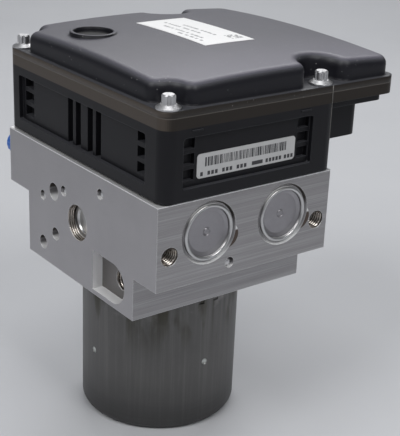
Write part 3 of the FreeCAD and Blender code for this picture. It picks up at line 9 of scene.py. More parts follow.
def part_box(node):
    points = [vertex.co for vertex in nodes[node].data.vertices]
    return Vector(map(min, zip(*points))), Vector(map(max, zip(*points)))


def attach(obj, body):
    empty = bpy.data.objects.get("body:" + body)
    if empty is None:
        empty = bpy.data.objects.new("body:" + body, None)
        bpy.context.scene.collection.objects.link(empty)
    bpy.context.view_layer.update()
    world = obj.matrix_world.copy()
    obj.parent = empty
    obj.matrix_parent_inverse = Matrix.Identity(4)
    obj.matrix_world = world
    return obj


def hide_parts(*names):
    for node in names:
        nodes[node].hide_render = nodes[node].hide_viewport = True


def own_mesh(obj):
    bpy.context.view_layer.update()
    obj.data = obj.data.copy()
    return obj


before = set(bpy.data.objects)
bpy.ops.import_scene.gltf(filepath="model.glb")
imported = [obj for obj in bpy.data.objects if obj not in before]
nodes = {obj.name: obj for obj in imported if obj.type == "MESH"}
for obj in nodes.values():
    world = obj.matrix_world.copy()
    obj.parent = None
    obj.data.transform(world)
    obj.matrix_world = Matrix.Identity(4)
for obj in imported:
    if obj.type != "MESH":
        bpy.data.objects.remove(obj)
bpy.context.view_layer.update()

# The photograph's camera, fitted to the block's edges. Metres and degrees.
CAMERA_SPOT = Vector((-0.26435, -0.37198, 0.27271))
AZIMUTH, ELEVATION, ROLL = -37.55, 21.78, 2.45
FOCAL_PIXELS = 1080.2
FRAME_HEIGHT = 436
SENSOR = 36.0
MM = 0.001

# Places on the block and can, in millimetres, as the solids have them.
RING_SPREAD, RING_LEVEL = 38.6, 108.0
DIMPLE_LEVEL = 32.5
BLOCK_SIDE, BLOCK_FRONT, BLOCK_BACK, BLOCK_TOP = 44.6, 59.7, 60.7, 123.4
BRACKET_HOLES = [(-38.4, 101.7), (38.4, 101.7)]
POCKET_BORE = (-28.3, 79.6)
PUMP_LEVEL = 96.7
RIM_LOW, RIM_PART, RIM_TOP = 153.2, 158.0, 160.8
HOUSE_FRONT = 60.8
COVER_CENTRE, COVER_DOME = (17.6, 1.1), 780.0
SIDE_LABEL_FACE, PRINT_THICK = -59.04, 0.06
WHEEL_PORTS, WHEEL_PORT_LEVEL = (-33.6, -11.2, 11.2, 33.6), 110.5
MASTER_PORTS, MASTER_PORT_SPOT = (-22.4, 22.4), (52.0, 97.6)

# Lamps: name, spot, target, size, power.
LAMPS = [
    ("overhead", (0.0, 0.0, 1.15), (0, 0, 0.12), (0.5, 0.5), 1.8),
    ("back", (0.56, 0.60, 0.88), (0, 0, 0.14), (0.8, 0.5), 5.0),
    ("left", (-0.72, -0.15, 0.92), (0, 0, 0.10), (0.5, 0.5), 4.0),
    ("front", (0.05, -0.76, 0.98), (0, 0, 0.10), (0.5, 0.5), 3.6),
]

# The six springs: name, joint, axis of travel, travel in millimetres.
SPRINGS = [("accumulator", "accumulator_stroke", 1, 8.0), ("pump", "pump_stroke", 0, 1.0),
           ("brush", "brush_slide", 0, 2.5)]


def add_camera():
    turn, tilt, roll = (math.radians(angle) for angle in (AZIMUTH, ELEVATION, ROLL))
    back = Vector((math.sin(turn) * math.cos(tilt), -math.cos(turn) * math.cos(tilt),
                   math.sin(tilt)))
    right = Vector((math.cos(turn), math.sin(turn), 0))
    up = back.cross(right)
    side = right * math.cos(roll) + up * math.sin(roll)
    rise = up * math.cos(roll) - right * math.sin(roll)
    camera = bpy.data.objects.new("camera", bpy.data.cameras.new("camera"))
    camera.data.lens = FOCAL_PIXELS * SENSOR / FRAME_HEIGHT
    camera.data.sensor_width = SENSOR
    camera.data.clip_start = 0.01
    camera.matrix_world = Matrix.Translation(CAMERA_SPOT) @ Matrix(
        (side, rise, back)).transposed().to_4x4()
    bpy.context.collection.objects.link(camera)
    bpy.context.scene.camera = camera


def add_area(name, spot, target, size, power):
    lamp = bpy.data.lights.new(name, "AREA")
    lamp.shape = "RECTANGLE"
    lamp.size, lamp.size_y = size
    lamp.energy = power
    holder = bpy.data.objects.new(name, lamp)
    holder.location = spot
    aim = Vector(target) - Vector(spot)
    holder.rotation_euler = aim.to_track_quat("-Z", "Y").to_euler()
    bpy.context.collection.objects.link(holder)


def add_light():
    for lamp in LAMPS:
        add_area(*lamp)
    world = bpy.data.worlds.new("world")
    bpy.context.scene.world = world
    world.use_nodes = True
    sky = world.node_tree.nodes["Background"]
    sky.inputs["Color"].default_value = (0.80, 0.82, 0.86, 1)
    sky.inputs["Strength"].default_value = 0.20


def add_floor():
    """Pale floor that sweeps up into a backdrop behind the object."""
    near, far, bend, high, half = -1.6, 1.3, 0.5, 1.6, 2.2
    line = [(near, 0.0), (far - bend, 0.0)]
    for step in range(1, 13):
        angle = math.radians(90 * step / 12)
        line.append((far - bend + bend * math.sin(angle), bend - bend * math.cos(angle)))
    line.append((far, high))
    mesh = bmesh.new()
    rows = [(mesh.verts.new((-half, y, z)), mesh.verts.new((half, y, z))) for y, z in line]
    for (a, b), (c, d) in zip(rows, rows[1:]):
        mesh.faces.new((a, b, d, c))
    floor = new_piece("floor", mesh)
    floor.rotation_euler.z = math.radians(AZIMUTH)
    floor.data.materials.append(floor_paint())


def new_piece(name, mesh, smooth=True):
    data = bpy.data.meshes.new(name)
    mesh.to_mesh(data)
    mesh.free()
    for face in data.polygons:
        face.use_smooth = smooth
    piece = bpy.data.objects.new(name, data)
    bpy.context.collection.objects.link(piece)
    return piece


class Paint:
    """A principled material with short calls for the nodes that drive it."""

    def __init__(self, name, colour, rough, metal=0.0, specular=0.5):
        self.material = bpy.data.materials.new(name)
        self.material.use_nodes = True
        self.tree = self.material.node_tree
        self.shader = self.tree.nodes["Principled BSDF"]
        for socket, value in (("Base Color", (*colour, 1)), ("Roughness", rough),
                              ("Metallic", metal), ("Specular IOR Level", specular)):
            self.shader.inputs[socket].default_value = value
        self.place = self.add("ShaderNodeTexCoord").outputs["Object"]

    def add(self, kind, **settings):
        node = self.tree.nodes.new(kind)
        for key, value in settings.items():
            setattr(node, key, value)
        return node

    def join(self, source, target):
        if hasattr(source, "is_output"):
            self.tree.links.new(source, target)
        else:
            target.default_value = source

    def maths(self, operation, *values, clamp=False):
        node = self.add("ShaderNodeMath", operation=operation, use_clamp=clamp)
        for value, socket in zip(values, node.inputs):
            self.join(value, socket)
        return node.outputs[0]

    def stretched(self, scale):
        """Object coordinates in millimetres times a scale for each axis."""
        node = self.add("ShaderNodeVectorMath", operation="MULTIPLY")
        self.join(self.place, node.inputs[0])
        node.inputs[1].default_value = [part * 1000 for part in scale]
        return node.outputs[0]

    def noise(self, scale=(1, 1, 1), detail=3.0, rough=0.5):
        node = self.add("ShaderNodeTexNoise")
        self.join(self.stretched(scale), node.inputs["Vector"])
        node.inputs["Scale"].default_value = 1.0
        node.inputs["Detail"].default_value = detail
        node.inputs["Roughness"].default_value = rough
        return node.outputs["Fac"]

    def specks(self, pitch, size):
        """Small round spots, one near each cell's centre, 1 inside a spot."""
        node = self.add("ShaderNodeTexVoronoi")
        self.join(self.stretched((1 / pitch,) * 3), node.inputs["Vector"])
        node.inputs["Scale"].default_value = 1.0
        return self.maths("LESS_THAN", node.outputs["Distance"], size)

    def flip(self, source):
        return self.maths("SUBTRACT", 1.0, source)

    def times(self, first, second):
        return self.maths("MULTIPLY", first, second)

    def reach(self, across, rise):
        """Distance from a centre, from the two offsets to it."""
        return self.maths("SQRT", self.maths("ADD", self.times(across, across),
                                             self.times(rise, rise)))

    def band(self, source, low, high):
        """0 below low, 1 above high, smooth between."""
        node = self.add("ShaderNodeMapRange", interpolation_type="SMOOTHSTEP")
        self.join(source, node.inputs["Value"])
        node.inputs["From Min"].default_value = low
        node.inputs["From Max"].default_value = high
        return node.outputs["Result"]

    def between(self, source, low, high):
        """1 between two limits, 0 outside them."""
        return self.times(self.band(source, low - 0.05, low + 0.05),
                          self.flip(self.band(source, high - 0.05, high + 0.05)))

    def axis(self, name):
        """Object coordinate along one axis, in millimetres."""
        node = self.add("ShaderNodeSeparateXYZ")
        self.join(self.place, node.inputs[0])
        return self.times(node.outputs[name], 1000.0)

    def facing(self, name):
        """How far the true face normal points along an axis, 0 to 1."""
        node = self.add("ShaderNodeSeparateXYZ")
        self.join(self.add("ShaderNodeNewGeometry").outputs["True Normal"], node.inputs[0])
        return self.maths("ABSOLUTE", node.outputs[name])

    def mix(self, amount, first, second):
        node = self.add("ShaderNodeMix", data_type="RGBA")
        self.join(amount, node.inputs[0])
        self.join(first if hasattr(first, "is_output") else (*first, 1), node.inputs[6])
        self.join(second if hasattr(second, "is_output") else (*second, 1), node.inputs[7])
        return node.outputs[2]

    def blend(self, amount, first, second):
        node = self.add("ShaderNodeMix", data_type="FLOAT")
        self.join(amount, node.inputs[0])
        self.join(first, node.inputs[2])
        self.join(second, node.inputs[3])
        return node.outputs[0]

    def upward(self):
        """Rises from 0 to 1 as the surface turns to face up."""
        node = self.add("ShaderNodeSeparateXYZ")
        self.join(self.add("ShaderNodeNewGeometry").outputs["Normal"], node.inputs[0])
        return self.band(node.outputs["Z"], 0.30, 0.80)

    def ceiling(self):
        """1 on the curved upper walls of bores, 0 on flat undersides."""
        node = self.add("ShaderNodeSeparateXYZ")
        self.join(self.add("ShaderNodeNewGeometry").outputs["Normal"], node.inputs[0])
        down = self.times(node.outputs["Z"], -1.0)
        return self.times(self.band(down, 0.02, 0.35), self.flip(self.band(down, 0.985, 0.998)))

    def edges(self, radius):
        """Rises from 0 to 1 within a radius, in millimetres, of a sharp edge."""
        soft = self.add("ShaderNodeBevel", samples=4)
        soft.inputs["Radius"].default_value = radius * MM
        turn = self.add("ShaderNodeVectorMath", operation="DOT_PRODUCT")
        self.join(soft.outputs[0], turn.inputs[0])
        self.join(self.add("ShaderNodeNewGeometry").outputs["True Normal"], turn.inputs[1])
        return self.band(self.maths("SUBTRACT", 1.0, turn.outputs["Value"]), 0.04, 0.20)

    def set_colour(self, source):
        self.join(source, self.shader.inputs["Base Color"])

    def set_rough(self, source):
        self.join(source, self.shader.inputs["Roughness"])

    def set_metal(self, source):
        self.join(source, self.shader.inputs["Metallic"])

    def bump(self, height, depth, soft_edge=None):
        """Bump of depth millimetres, over edges rounded by soft_edge millimetres."""
        node = self.add("ShaderNodeBump")
        node.inputs["Distance"].default_value = depth * MM
        self.join(height, node.inputs["Height"])
        if soft_edge:
            edge = self.add("ShaderNodeBevel", samples=6)
            edge.inputs["Radius"].default_value = soft_edge * MM
            self.join(edge.outputs[0], node.inputs["Normal"])
        self.join(node.outputs[0], self.shader.inputs["Normal"])


def floor_paint():
    paint = Paint("floor_pale", (0.62, 0.63, 0.65), 0.75, specular=0.2)
    mottle = paint.noise((0.01, 0.01, 0.01), 4)
    paint.set_colour(paint.mix(mottle, (0.59, 0.60, 0.625), (0.64, 0.65, 0.67)))
    return paint.material


def milled_aluminium():
    """Machined bar: tool lines along X on the faces towards -Y and +Y, finer elsewhere, with
    painted highlights and painted shade.
    """
    paint = Paint("milled_aluminium", (0.55, 0.55, 0.56), 0.36, metal=0.65)
    front = paint.band(paint.facing("Y"), 0.6, 0.9)
    lines = paint.noise((0.02, 0.02, 5.0), 4, 0.7)
    fine = paint.noise((3.5, 3.5, 1.2), 3, 0.6)
    cloud = paint.noise((0.05, 0.05, 0.05), 4, 0.55)
    plain = paint.mix(cloud, (0.355, 0.345, 0.36), (0.465, 0.455, 0.47))
    colour = paint.mix(front, plain, tool_lines(paint, lines))
    # Painted highlight: faces that look up, except the block's top, turn near white with less
    # metal.
    ledge = paint.band(paint.axis("Z"), BLOCK_TOP - 0.10, BLOCK_TOP - 0.05)
    up_face_highlight = paint.times(paint.upward(), paint.flip(ledge))
    pocket_wall_highlight, pocket_seat_shade = side_pocket(paint)
    # Painted highlight on the pocket walls, painted shade on the pocket seat.
    colour = paint.mix(pocket_wall_highlight, colour, (0.95, 0.94, 0.95))
    colour = paint.mix(pocket_seat_shade, colour, (0.20, 0.19, 0.185))
    # Painted highlights: a thin bright strip just under the block's top edge, and lighter sharp
    # edges.
    top_edge_highlight = paint.band(paint.axis("Z"), BLOCK_TOP - 0.55, BLOCK_TOP - 0.40)
    painted_highlight = paint.maths("MAXIMUM", paint.times(paint.edges(0.5), 0.7), top_edge_highlight)
    # Painted shade on the upper walls of bores.
    colour = paint.mix(paint.ceiling(), colour, (0.075, 0.065, 0.060))
    colour = paint.mix(paint.maths("MAXIMUM", painted_highlight, up_face_highlight), colour, (0.96, 0.96, 0.96))
    # Staking marks: dark brown, partly oxide and partly painted shade of the dent, with a painted
    # highlight on the tip.
    for x in (-RING_SPREAD / 2, RING_SPREAD / 2):
        mark, tip_highlight = stake_mark(paint, x)
        colour = paint.mix(mark, colour, paint.mix(tip_highlight, (0.095, 0.070, 0.058),
                                                   (0.85, 0.85, 0.84)))
    paint.set_colour(colour)
    paint.set_metal(paint.blend(paint.maths("MAXIMUM", up_face_highlight, pocket_wall_highlight), 0.65, 0.10))
    paint.set_rough(paint.blend(front, paint.blend(cloud, 0.34, 0.48),
                                paint.blend(lines, 0.30, 0.48)))
    paint.bump(paint.blend(front, paint.times(fine, 0.35), lines), 0.035, soft_edge=0.45)
    return paint.material


def tool_lines(paint, lines):
    """Colour of the milled faces: narrow lines with broad darker bands over them."""
    bands = paint.noise((0.01, 0.01, 0.5), 2, 0.5)
    colour = paint.mix(paint.band(lines, 0.3, 0.7), (0.29, 0.285, 0.295), (0.50, 0.49, 0.50))
    return paint.mix(paint.times(paint.band(bands, 0.35, 0.65), 0.5), colour,
                     (0.29, 0.28, 0.285))


def side_pocket(paint):
    """The pocket walls in the block's sides, painted bright as a painted highlight, and their
    seat, painted dark as painted shade.
    """
    y, z = POCKET_BORE
    across = paint.maths("ABSOLUTE", paint.axis("X"))
    area = paint.times(paint.between(paint.axis("Y"), y - 9.2, y + 16.0),
                       paint.between(paint.axis("Z"), z - 9.2, z + 9.2))
    walls = paint.between(across, BLOCK_SIDE - 4.9, BLOCK_SIDE - 0.2)
    pocket_seat_shade = paint.between(across, BLOCK_SIDE - 5.3, BLOCK_SIDE - 4.9)
    return paint.times(walls, area), paint.times(pocket_seat_shade, area)


def stake_mark(paint, x):
    """Staking mark that bulges out of a ring's right side: dark brown, partly its own oxide and
    partly painted shade of the dent, with a painted highlight on its upper tip.
    """
    across = paint.maths("SUBTRACT", paint.axis("X"), x)
    rise = paint.maths("SUBTRACT", paint.axis("Z"), RING_LEVEL)
    bulge = paint.reach(paint.maths("SUBTRACT", across, 9.6), paint.maths("ADD", rise, 3.3))
    outside = paint.band(paint.reach(across, rise), 13.4, 13.6)
    front = paint.maths("LESS_THAN", paint.axis("Y"), 0.7 - BLOCK_FRONT)
    mark = paint.times(paint.times(paint.flip(paint.band(bulge, 5.2, 5.4)), outside), front)
    return mark, paint.band(rise, -2.0, -1.0)


def drawn_can():
    """Dull plated steel: upright draw lines, smudges under the block, and dimples painted bright,
    partly polished metal and partly a painted glint.
    """
    paint = Paint("drawn_can", (0.13, 0.13, 0.12), 0.45, metal=0.8)
    upright = paint.noise((0.55, 0.55, 0.012), 4, 0.65)
    cloud = paint.noise((0.04, 0.04, 0.025), 4, 0.6)
    level = paint.axis("Z")
    foot = paint.times(paint.noise((0.01, 0.01, 1.3), 3, 0.6),
                       paint.flip(paint.band(level, 6.0, 16.0)))
    dimple = dimple_mark(paint, level)
    base = paint.mix(cloud, (0.105, 0.103, 0.102), (0.185, 0.181, 0.178))
    base = can_smudges(paint, base, upright, level)
    base = paint.mix(paint.times(foot, 0.6), base, (0.055, 0.055, 0.052))
    # Darker towards the bottom of the can.
    base = paint.mix(paint.times(paint.flip(paint.band(level, 4.0, 30.0)), 0.45), base,
                     (0.060, 0.060, 0.062))
    paint.set_colour(paint.mix(dimple, base, (0.62, 0.64, 0.62)))
    paint.set_rough(paint.blend(dimple, paint.blend(cloud, 0.40, 0.55), 0.30))
    paint.bump(paint.maths("ADD", upright, foot), 0.03, 0.4)
    return paint.material


def can_smudges(paint, base, upright, level):
    """Pale streaks down the can, and dark smudges and dusty patches near the block."""
    high = paint.band(level, 34.0, 64.0)
    streaks = paint.times(paint.band(upright, 0.45, 0.72), paint.blend(high, 0.28, 0.50))
    base = paint.mix(streaks, base, (0.24, 0.237, 0.230))
    smudge = paint.times(paint.band(paint.noise((0.11, 0.11, 0.035), 3, 0.5), 0.47, 0.62), high)
    base = paint.mix(paint.times(smudge, 0.85), base, (0.062, 0.058, 0.042))
    dusty = paint.times(paint.band(paint.noise((0.07, 0.07, 0.10), 4, 0.6), 0.50, 0.68),
                        paint.band(level, 50.0, 66.0))
    base = paint.mix(paint.times(dusty, 0.8), base, (0.34, 0.33, 0.325))
    scored = paint.flip(paint.band(upright, 0.25, 0.42))
    return paint.mix(paint.times(scored, paint.times(high, 0.45)), base, (0.060, 0.052, 0.045))


def dimple_mark(paint, level):
    """1 inside the four staking dimples round the can, painted bright: partly polished metal,
    partly a painted glint.
    """
    across = paint.maths("MINIMUM", *(paint.maths("ABSOLUTE", paint.axis(name))
                                      for name in ("X", "Y")))
    rise = paint.maths("SUBTRACT", level, DIMPLE_LEVEL)
    return paint.flip(paint.band(paint.reach(across, rise), 1.0, 1.7))


def moulded(name, dark, light, rough, rim, grain=0.02, dust=0.0, edge=0.35, specular=0.3,
            sheen_colour=None):
    """Textured black moulding with painted highlights on edges and on faces that look up, dust
    specks and a brown rim.

    rim holds the rim's two levels and colour. The last argument is the colour of a painted sheen
    on the dome's top faces.
    """
    paint = Paint(name, dark, rough, specular=specular)
    cloud = paint.noise((0.03, 0.03, 0.03), 4, 0.55)
    texture = paint.noise((2.6, 2.6, 2.6), 2, 0.5)
    # Painted highlight: lighter along edges and on faces that look up.
    painted_highlight = paint.maths("MAXIMUM", paint.times(paint.edges(0.5), 0.55),
                       paint.times(paint.upward(), 0.75))
    colour = paint.mix(painted_highlight, paint.mix(cloud, dark, light), (0.075, 0.077, 0.086))
    if sheen_colour:
        colour = painted_sheen(paint, colour, texture, sheen_colour)
    low, high, brown = rim
    inside = paint.between(paint.axis("Z"), low, high)
    colour = brown_rim(paint, colour, inside, brown)
    if dust:
        spots = paint.times(paint.specks(2.3, 0.085),
                            paint.band(paint.noise((0.05, 0.05, 0.05), 2), 0.42, 0.62))
        colour = paint.mix(paint.times(spots, dust), colour, (0.45, 0.45, 0.44))
    paint.set_colour(colour)
    paint.set_rough(paint.blend(inside, paint.blend(cloud, rough - 0.05, rough + 0.07), 0.38))
    paint.bump(texture, grain, edge)
    return paint.material


def painted_sheen(paint, colour, texture, sheen_colour):
    """Painted sheen on the dome's faces that look up, stronger toward -Y."""
    forward = paint.flip(paint.band(paint.axis("Y"), -70.0, -5.0))
    top = paint.times(paint.band(paint.facing("Z"), 0.55, 0.97),
                      paint.band(paint.axis("Z"), RIM_TOP + 1.0, RIM_TOP + 3.0))
    return paint.mix(paint.times(top, paint.blend(forward, 0.40, 1.0)), colour,
                     paint.mix(texture, scaled(sheen_colour, 0.8), sheen_colour))


def brown_rim(paint, colour, inside, brown):
    """Brown rim, painted paler on the faces towards -X and +X and darker on the rest as painted
    light and shade, with a light parting line.
    """
    lit_sides = paint.band(paint.facing("X"), 0.3, 0.9)
    colour = paint.mix(inside, colour, paint.mix(lit_sides, scaled(brown, 0.55), scaled(brown, 1.5)))
    near = paint.maths("ABSOLUTE", paint.maths("SUBTRACT", paint.axis("Z"), RIM_PART))
    parting = paint.flip(paint.band(near, 0.10, 0.30))
    return paint.mix(paint.times(parting, 0.6), colour, (0.17, 0.155, 0.14))


def scaled(colour, share):
    return tuple(min(part * share, 0.95) for part in colour)


def plain_metal(name, colour, rough=0.32, lines=(1.5, 1.5, 1.5), depth=0.01, edge=None):
    """Turned, ground or plated metal with fine marks."""
    paint = Paint(name, colour, rough, metal=1.0)
    marks = paint.noise(lines, 3, 0.6)
    cloud = paint.noise((0.12, 0.12, 0.12), 3, 0.5)
    paint.set_colour(paint.mix(cloud, scaled(colour, 0.86), scaled(colour, 1.08)))
    paint.set_rough(paint.blend(marks, rough * 0.8, rough * 1.25))
    paint.bump(marks, depth, edge)
    return paint.material


def plain_plastic(name, colour, rough=0.45, grain=0.012, edge=None):
    """Smooth moulding with a faint mottle."""
    paint = Paint(name, colour, rough)
    texture = paint.noise((1.8, 1.8, 1.8), 3, 0.5)
    cloud = paint.noise((0.08, 0.08, 0.08), 3, 0.5)
    paint.set_colour(paint.mix(cloud, scaled(colour, 0.88), scaled(colour, 1.1)))
    paint.set_rough(paint.blend(cloud, rough - 0.06, rough + 0.08))
    paint.bump(texture, grain, edge)
    return paint.material


def blank_label(name, white):
    """White film with a faint paper mottle."""
    paint = Paint(name, (white, white, white), 0.42)
    mottle = paint.noise((0.5, 0.5, 0.5), 4, 0.6)
    paint.set_colour(paint.mix(mottle, (white - 0.05,) * 3, (white + 0.03,) * 3))
    paint.set_rough(paint.blend(mottle, 0.36, 0.50))
    paint.bump(mottle, 0.01)
    return paint.material


def box_faces(mesh, low, high):
    """Six faces between two opposite corners, in millimetres."""
    ends = [(low[axis] * MM, high[axis] * MM) for axis in range(3)]
    spots = [mesh.verts.new((x, y, z)) for x in ends[0] for y in ends[1] for z in ends[2]]
    for ring in ((0, 1, 3, 2), (4, 6, 7, 5), (0, 4, 5, 1), (2, 3, 7, 6), (0, 2, 6, 4),
                 (1, 5, 7, 3)):
        mesh.faces.new([spots[index] for index in ring])


def finish_piece(piece, material):
    piece.data.materials.append(material)
    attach(piece, "module")
    return piece


def threads(name, mouth, inward, radius, deep, pitch, length, materials):
    """Screw thread on the wall of a bore: one turned sleeve with a bright helical crest
    and the groove beside it painted dark as shade."""
    inward = Vector(inward)
    side = Vector((0, 0, 1))
    across = inward.cross(side)
    around_steps, per_pitch = 64, 8
    rows = int(length / pitch * per_pitch)
    mesh = bmesh.new()
    grid = []
    for row in range(rows + 1):
        depth = row / per_pitch * pitch
        ring = []
        for step in range(around_steps):
            turn = step / around_steps
            phase = (row / per_pitch - turn) % 1.0
            ridge = 1 - abs(2 * phase - 1)
            reach = radius - deep * min(1.0, ridge * 1.25) * min(1.0, row / per_pitch)
            angle = 2 * math.pi * turn
            spot = Vector(mouth) + inward * depth + reach * (
                side * math.cos(angle) + across * math.sin(angle))
            ring.append(mesh.verts.new(spot * MM))
        grid.append(ring)
    for row, (first, second) in enumerate(zip(grid, grid[1:])):
        for step in range(around_steps):
            after = (step + 1) % around_steps
            face = mesh.faces.new((first[step], first[after], second[after], second[step]))
            phase = ((row + 0.5) / per_pitch - (step + 0.5) / around_steps) % 1.0
            face.material_index = int(abs(2 * phase - 1) > 0.55)
    piece = finish_piece(new_piece(name, mesh), materials[0])
    piece.data.materials.append(materials[1])


def add_crimp_beads():
    """Rounded bead of crimped metal round each accumulator cap."""
    polished = plain_metal("crimped_metal", (0.62, 0.62, 0.62), 0.30, (1.2, 1.2, 1.2), 0.02)
    profile = [(11.95, 0.32), (11.95, 0.05), (11.72, -0.20), (11.40, -0.32), (11.05, -0.30),
               (10.75, -0.15), (10.52, 0.12), (10.46, 0.45)]
    mesh = bmesh.new()
    for x in (-RING_SPREAD / 2, RING_SPREAD / 2):
        rings = []
        for reach, sink in profile:
            ring = []
            for step in range(96):
                turn = 2 * math.pi * step / 96
                ring.append(mesh.verts.new(Vector((x + reach * math.cos(turn),
                                                   sink - BLOCK_FRONT,
                                                   RING_LEVEL + reach * math.sin(turn))) * MM))
            rings.append(ring)
        for first, second in zip(rings, rings[1:]):
            for step in range(96):
                after = (step + 1) % 96
                mesh.faces.new((first[step], second[step], second[after], first[after]))
    finish_piece(new_piece("crimp_beads", mesh), polished)


def add_threads():
    """Threads of the bracket holes, side bushes and pump bores."""
    # The groove material is painted shade in the thread's grooves.
    tapped = (plain_metal("tapped_crest", (0.66, 0.61, 0.56), 0.28, (1.5, 1.5, 1.5), 0.01),
              plain_metal("tapped_groove_shade", (0.075, 0.060, 0.050), 0.40, (1.5, 1.5, 1.5), 0.01))
    for index, (x, z) in enumerate(BRACKET_HOLES, start=1):
        threads(f"bracket_thread_{index}", (x, 0.3 - BLOCK_FRONT, z), (0, 1, 0), 3.98, 0.55, 1.25,
                15.0, tapped)
    y, z = POCKET_BORE
    for name, sign in (("left", -1), ("right", 1)):
        threads(f"bush_thread_{name}", (sign * (BLOCK_SIDE - 5.3), y, z), (-sign, 0, 0), 4.48,
                0.5, 1.25, 11.0, tapped)
        threads(f"pump_thread_{name}", (sign * (BLOCK_SIDE - 0.2), 0, PUMP_LEVEL), (-sign, 0, 0),
                7.98, 0.35, 1.0, 3.0, tapped)


def add_side_label_print(ink):
    """Plain upright bars over a row of small blocks, with no meaning."""
    draw = random.Random(11)
    mesh = bmesh.new()

    def mark(left, wide, low, high):
        box_faces(mesh, (left, SIDE_LABEL_FACE, low),
                  (left + wide, SIDE_LABEL_FACE + PRINT_THICK, high))

    x = -22.4
    while x < 19.0:
        wide = draw.choice((0.28, 0.28, 0.5, 0.75))
        mark(x, wide, 136.2, 139.9)
        x += wide + draw.choice((0.3, 0.3, 0.55))
    x = -24.6
    for count in (1, 3, 3, 3):
        for block in range(count):
            mark(x, 1.25, 132.5, 134.1)
            x += 1.85
        x += 1.7
    x = 1.2
    for count in (1, 5, 3):
        wide = 5.6 if count == 1 else 1.2
        for block in range(count):
            mark(x, wide, 132.6, 134.2)
            x += wide + 0.55
        x += 1.0
    finish_piece(new_piece("side_label_bars", mesh, smooth=False), ink)


def add_top_label_print(ink):
    """Faint rows of blocks along the top label and a block square near its front."""
    draw = random.Random(5)
    mesh = bmesh.new()
    low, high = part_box("top_label")
    spans = [max(0.0, low[axis] / MM - COVER_CENTRE[axis], COVER_CENTRE[axis] - high[axis] / MM)
             for axis in (0, 1)]
    crown = high[2] / MM + top_drop(math.hypot(*spans))

    def block(x, y, wide, long):
        level = crown - top_drop(math.hypot(x - COVER_CENTRE[0], y - COVER_CENTRE[1]))
        box_faces(mesh, (x - wide / 2, y - long / 2, level - 0.10),
                  (x + wide / 2, y + long / 2, level + 0.03))

    for x, start, end in ((9.0, -12, 6), (12.0, -8, 20), (16.5, 0, 26), (20.5, -6, 18)):
        y = start
        while y < end:
            long = draw.uniform(0.9, 2.2)
            block(x, y, 1.3, long)
            y += long + draw.choice((0.6, 0.6, 1.8))
    for row in range(7):
        for column in range(7):
            if draw.random() < 0.55:
                block(23.5 + row * 0.9, -15.0 + column * 0.9, 0.88, 0.88)
    finish_piece(new_piece("top_label_blocks", mesh, smooth=False), ink)


def top_drop(reach):
    """How far the domed cover lies below its crown at this distance from its centre."""
    return COVER_DOME - math.sqrt(COVER_DOME ** 2 - reach ** 2)


def add_housing_trim(black):
    """Two small catches under the rim and the parting bead on the front right corner."""
    mesh = bmesh.new()
    for left, right in ((-30.6, -25.4), (24.2, 29.8)):
        box_faces(mesh, (left, -HOUSE_FRONT - 0.45, RIM_LOW - 1.3),
                  (right, 0.5 - HOUSE_FRONT, RIM_LOW - 0.7))
    catches = new_piece("rim_catches", mesh, smooth=False)
    bevel = catches.modifiers.new("soft", "BEVEL")
    bevel.width, bevel.segments = 0.15 * MM, 2
    finish_piece(catches, black)
    pale = plain_plastic("flash_grey", (0.16, 0.155, 0.145), 0.4)
    bead = bmesh.new()
    tube_along(bead, [(41.0, -HOUSE_FRONT, RIM_TOP), (41.2, -HOUSE_FRONT, RIM_LOW)], 0.22)
    tube_along(bead, [(41.7, 0.66 - HOUSE_FRONT, RIM_LOW), (42.1, 0.9 - HOUSE_FRONT, 137.0)], 0.20)
    finish_piece(new_piece("corner_bead", bead), pale)


def tube_along(mesh, spots, radius):
    """Round bead through points in millimetres, closed at both ends."""
    rings = []
    for spot in spots:
        rings.append([mesh.verts.new(Vector(
            (spot[0] + radius * math.cos(turn), spot[1] + radius * math.sin(turn), spot[2])) * MM)
            for turn in (2 * math.pi * step / 12 for step in range(12))])
    for first, second in zip(rings, rings[1:]):
        for step in range(12):
            after = (step + 1) % 12
            mesh.faces.new((first[step], first[after], second[after], second[step]))
    mesh.faces.new(reversed(rings[0]))
    mesh.faces.new(rings[-1])


def plug_mesh(mesh, place, head):
    """Hollow transit plug: shank in the port, ribbed head outside it."""
    profile = [(0.0, -7.0), (4.2, -7.0), (4.95, -6.2), (4.95, 0.02), (6.2, 0.02), (6.2, 1.2),
               (5.55, 1.5), (5.55, head - 0.9), (5.1, head), (3.4, head), (3.0, head - 0.5),
               (3.0, 1.4), (0.0, 1.2)]
    steps = 72
    rings = []
    for index, (reach, along) in enumerate(profile):
        ribbed = index in (6, 7)
        ring = []
        for step in range(steps):
            turn = 2 * math.pi * step / steps
            out = reach - (0.35 if ribbed and step % 4 < 2 else 0.0)
            ring.append(mesh.verts.new(place @ (Vector(
                (out * math.cos(turn), out * math.sin(turn), along)) * MM)))
        rings.append(ring)
    for first, second in zip(rings, rings[1:]):
        for step in range(steps):
            after = (step + 1) % steps
            mesh.faces.new((first[step], first[after], second[after], second[step]))


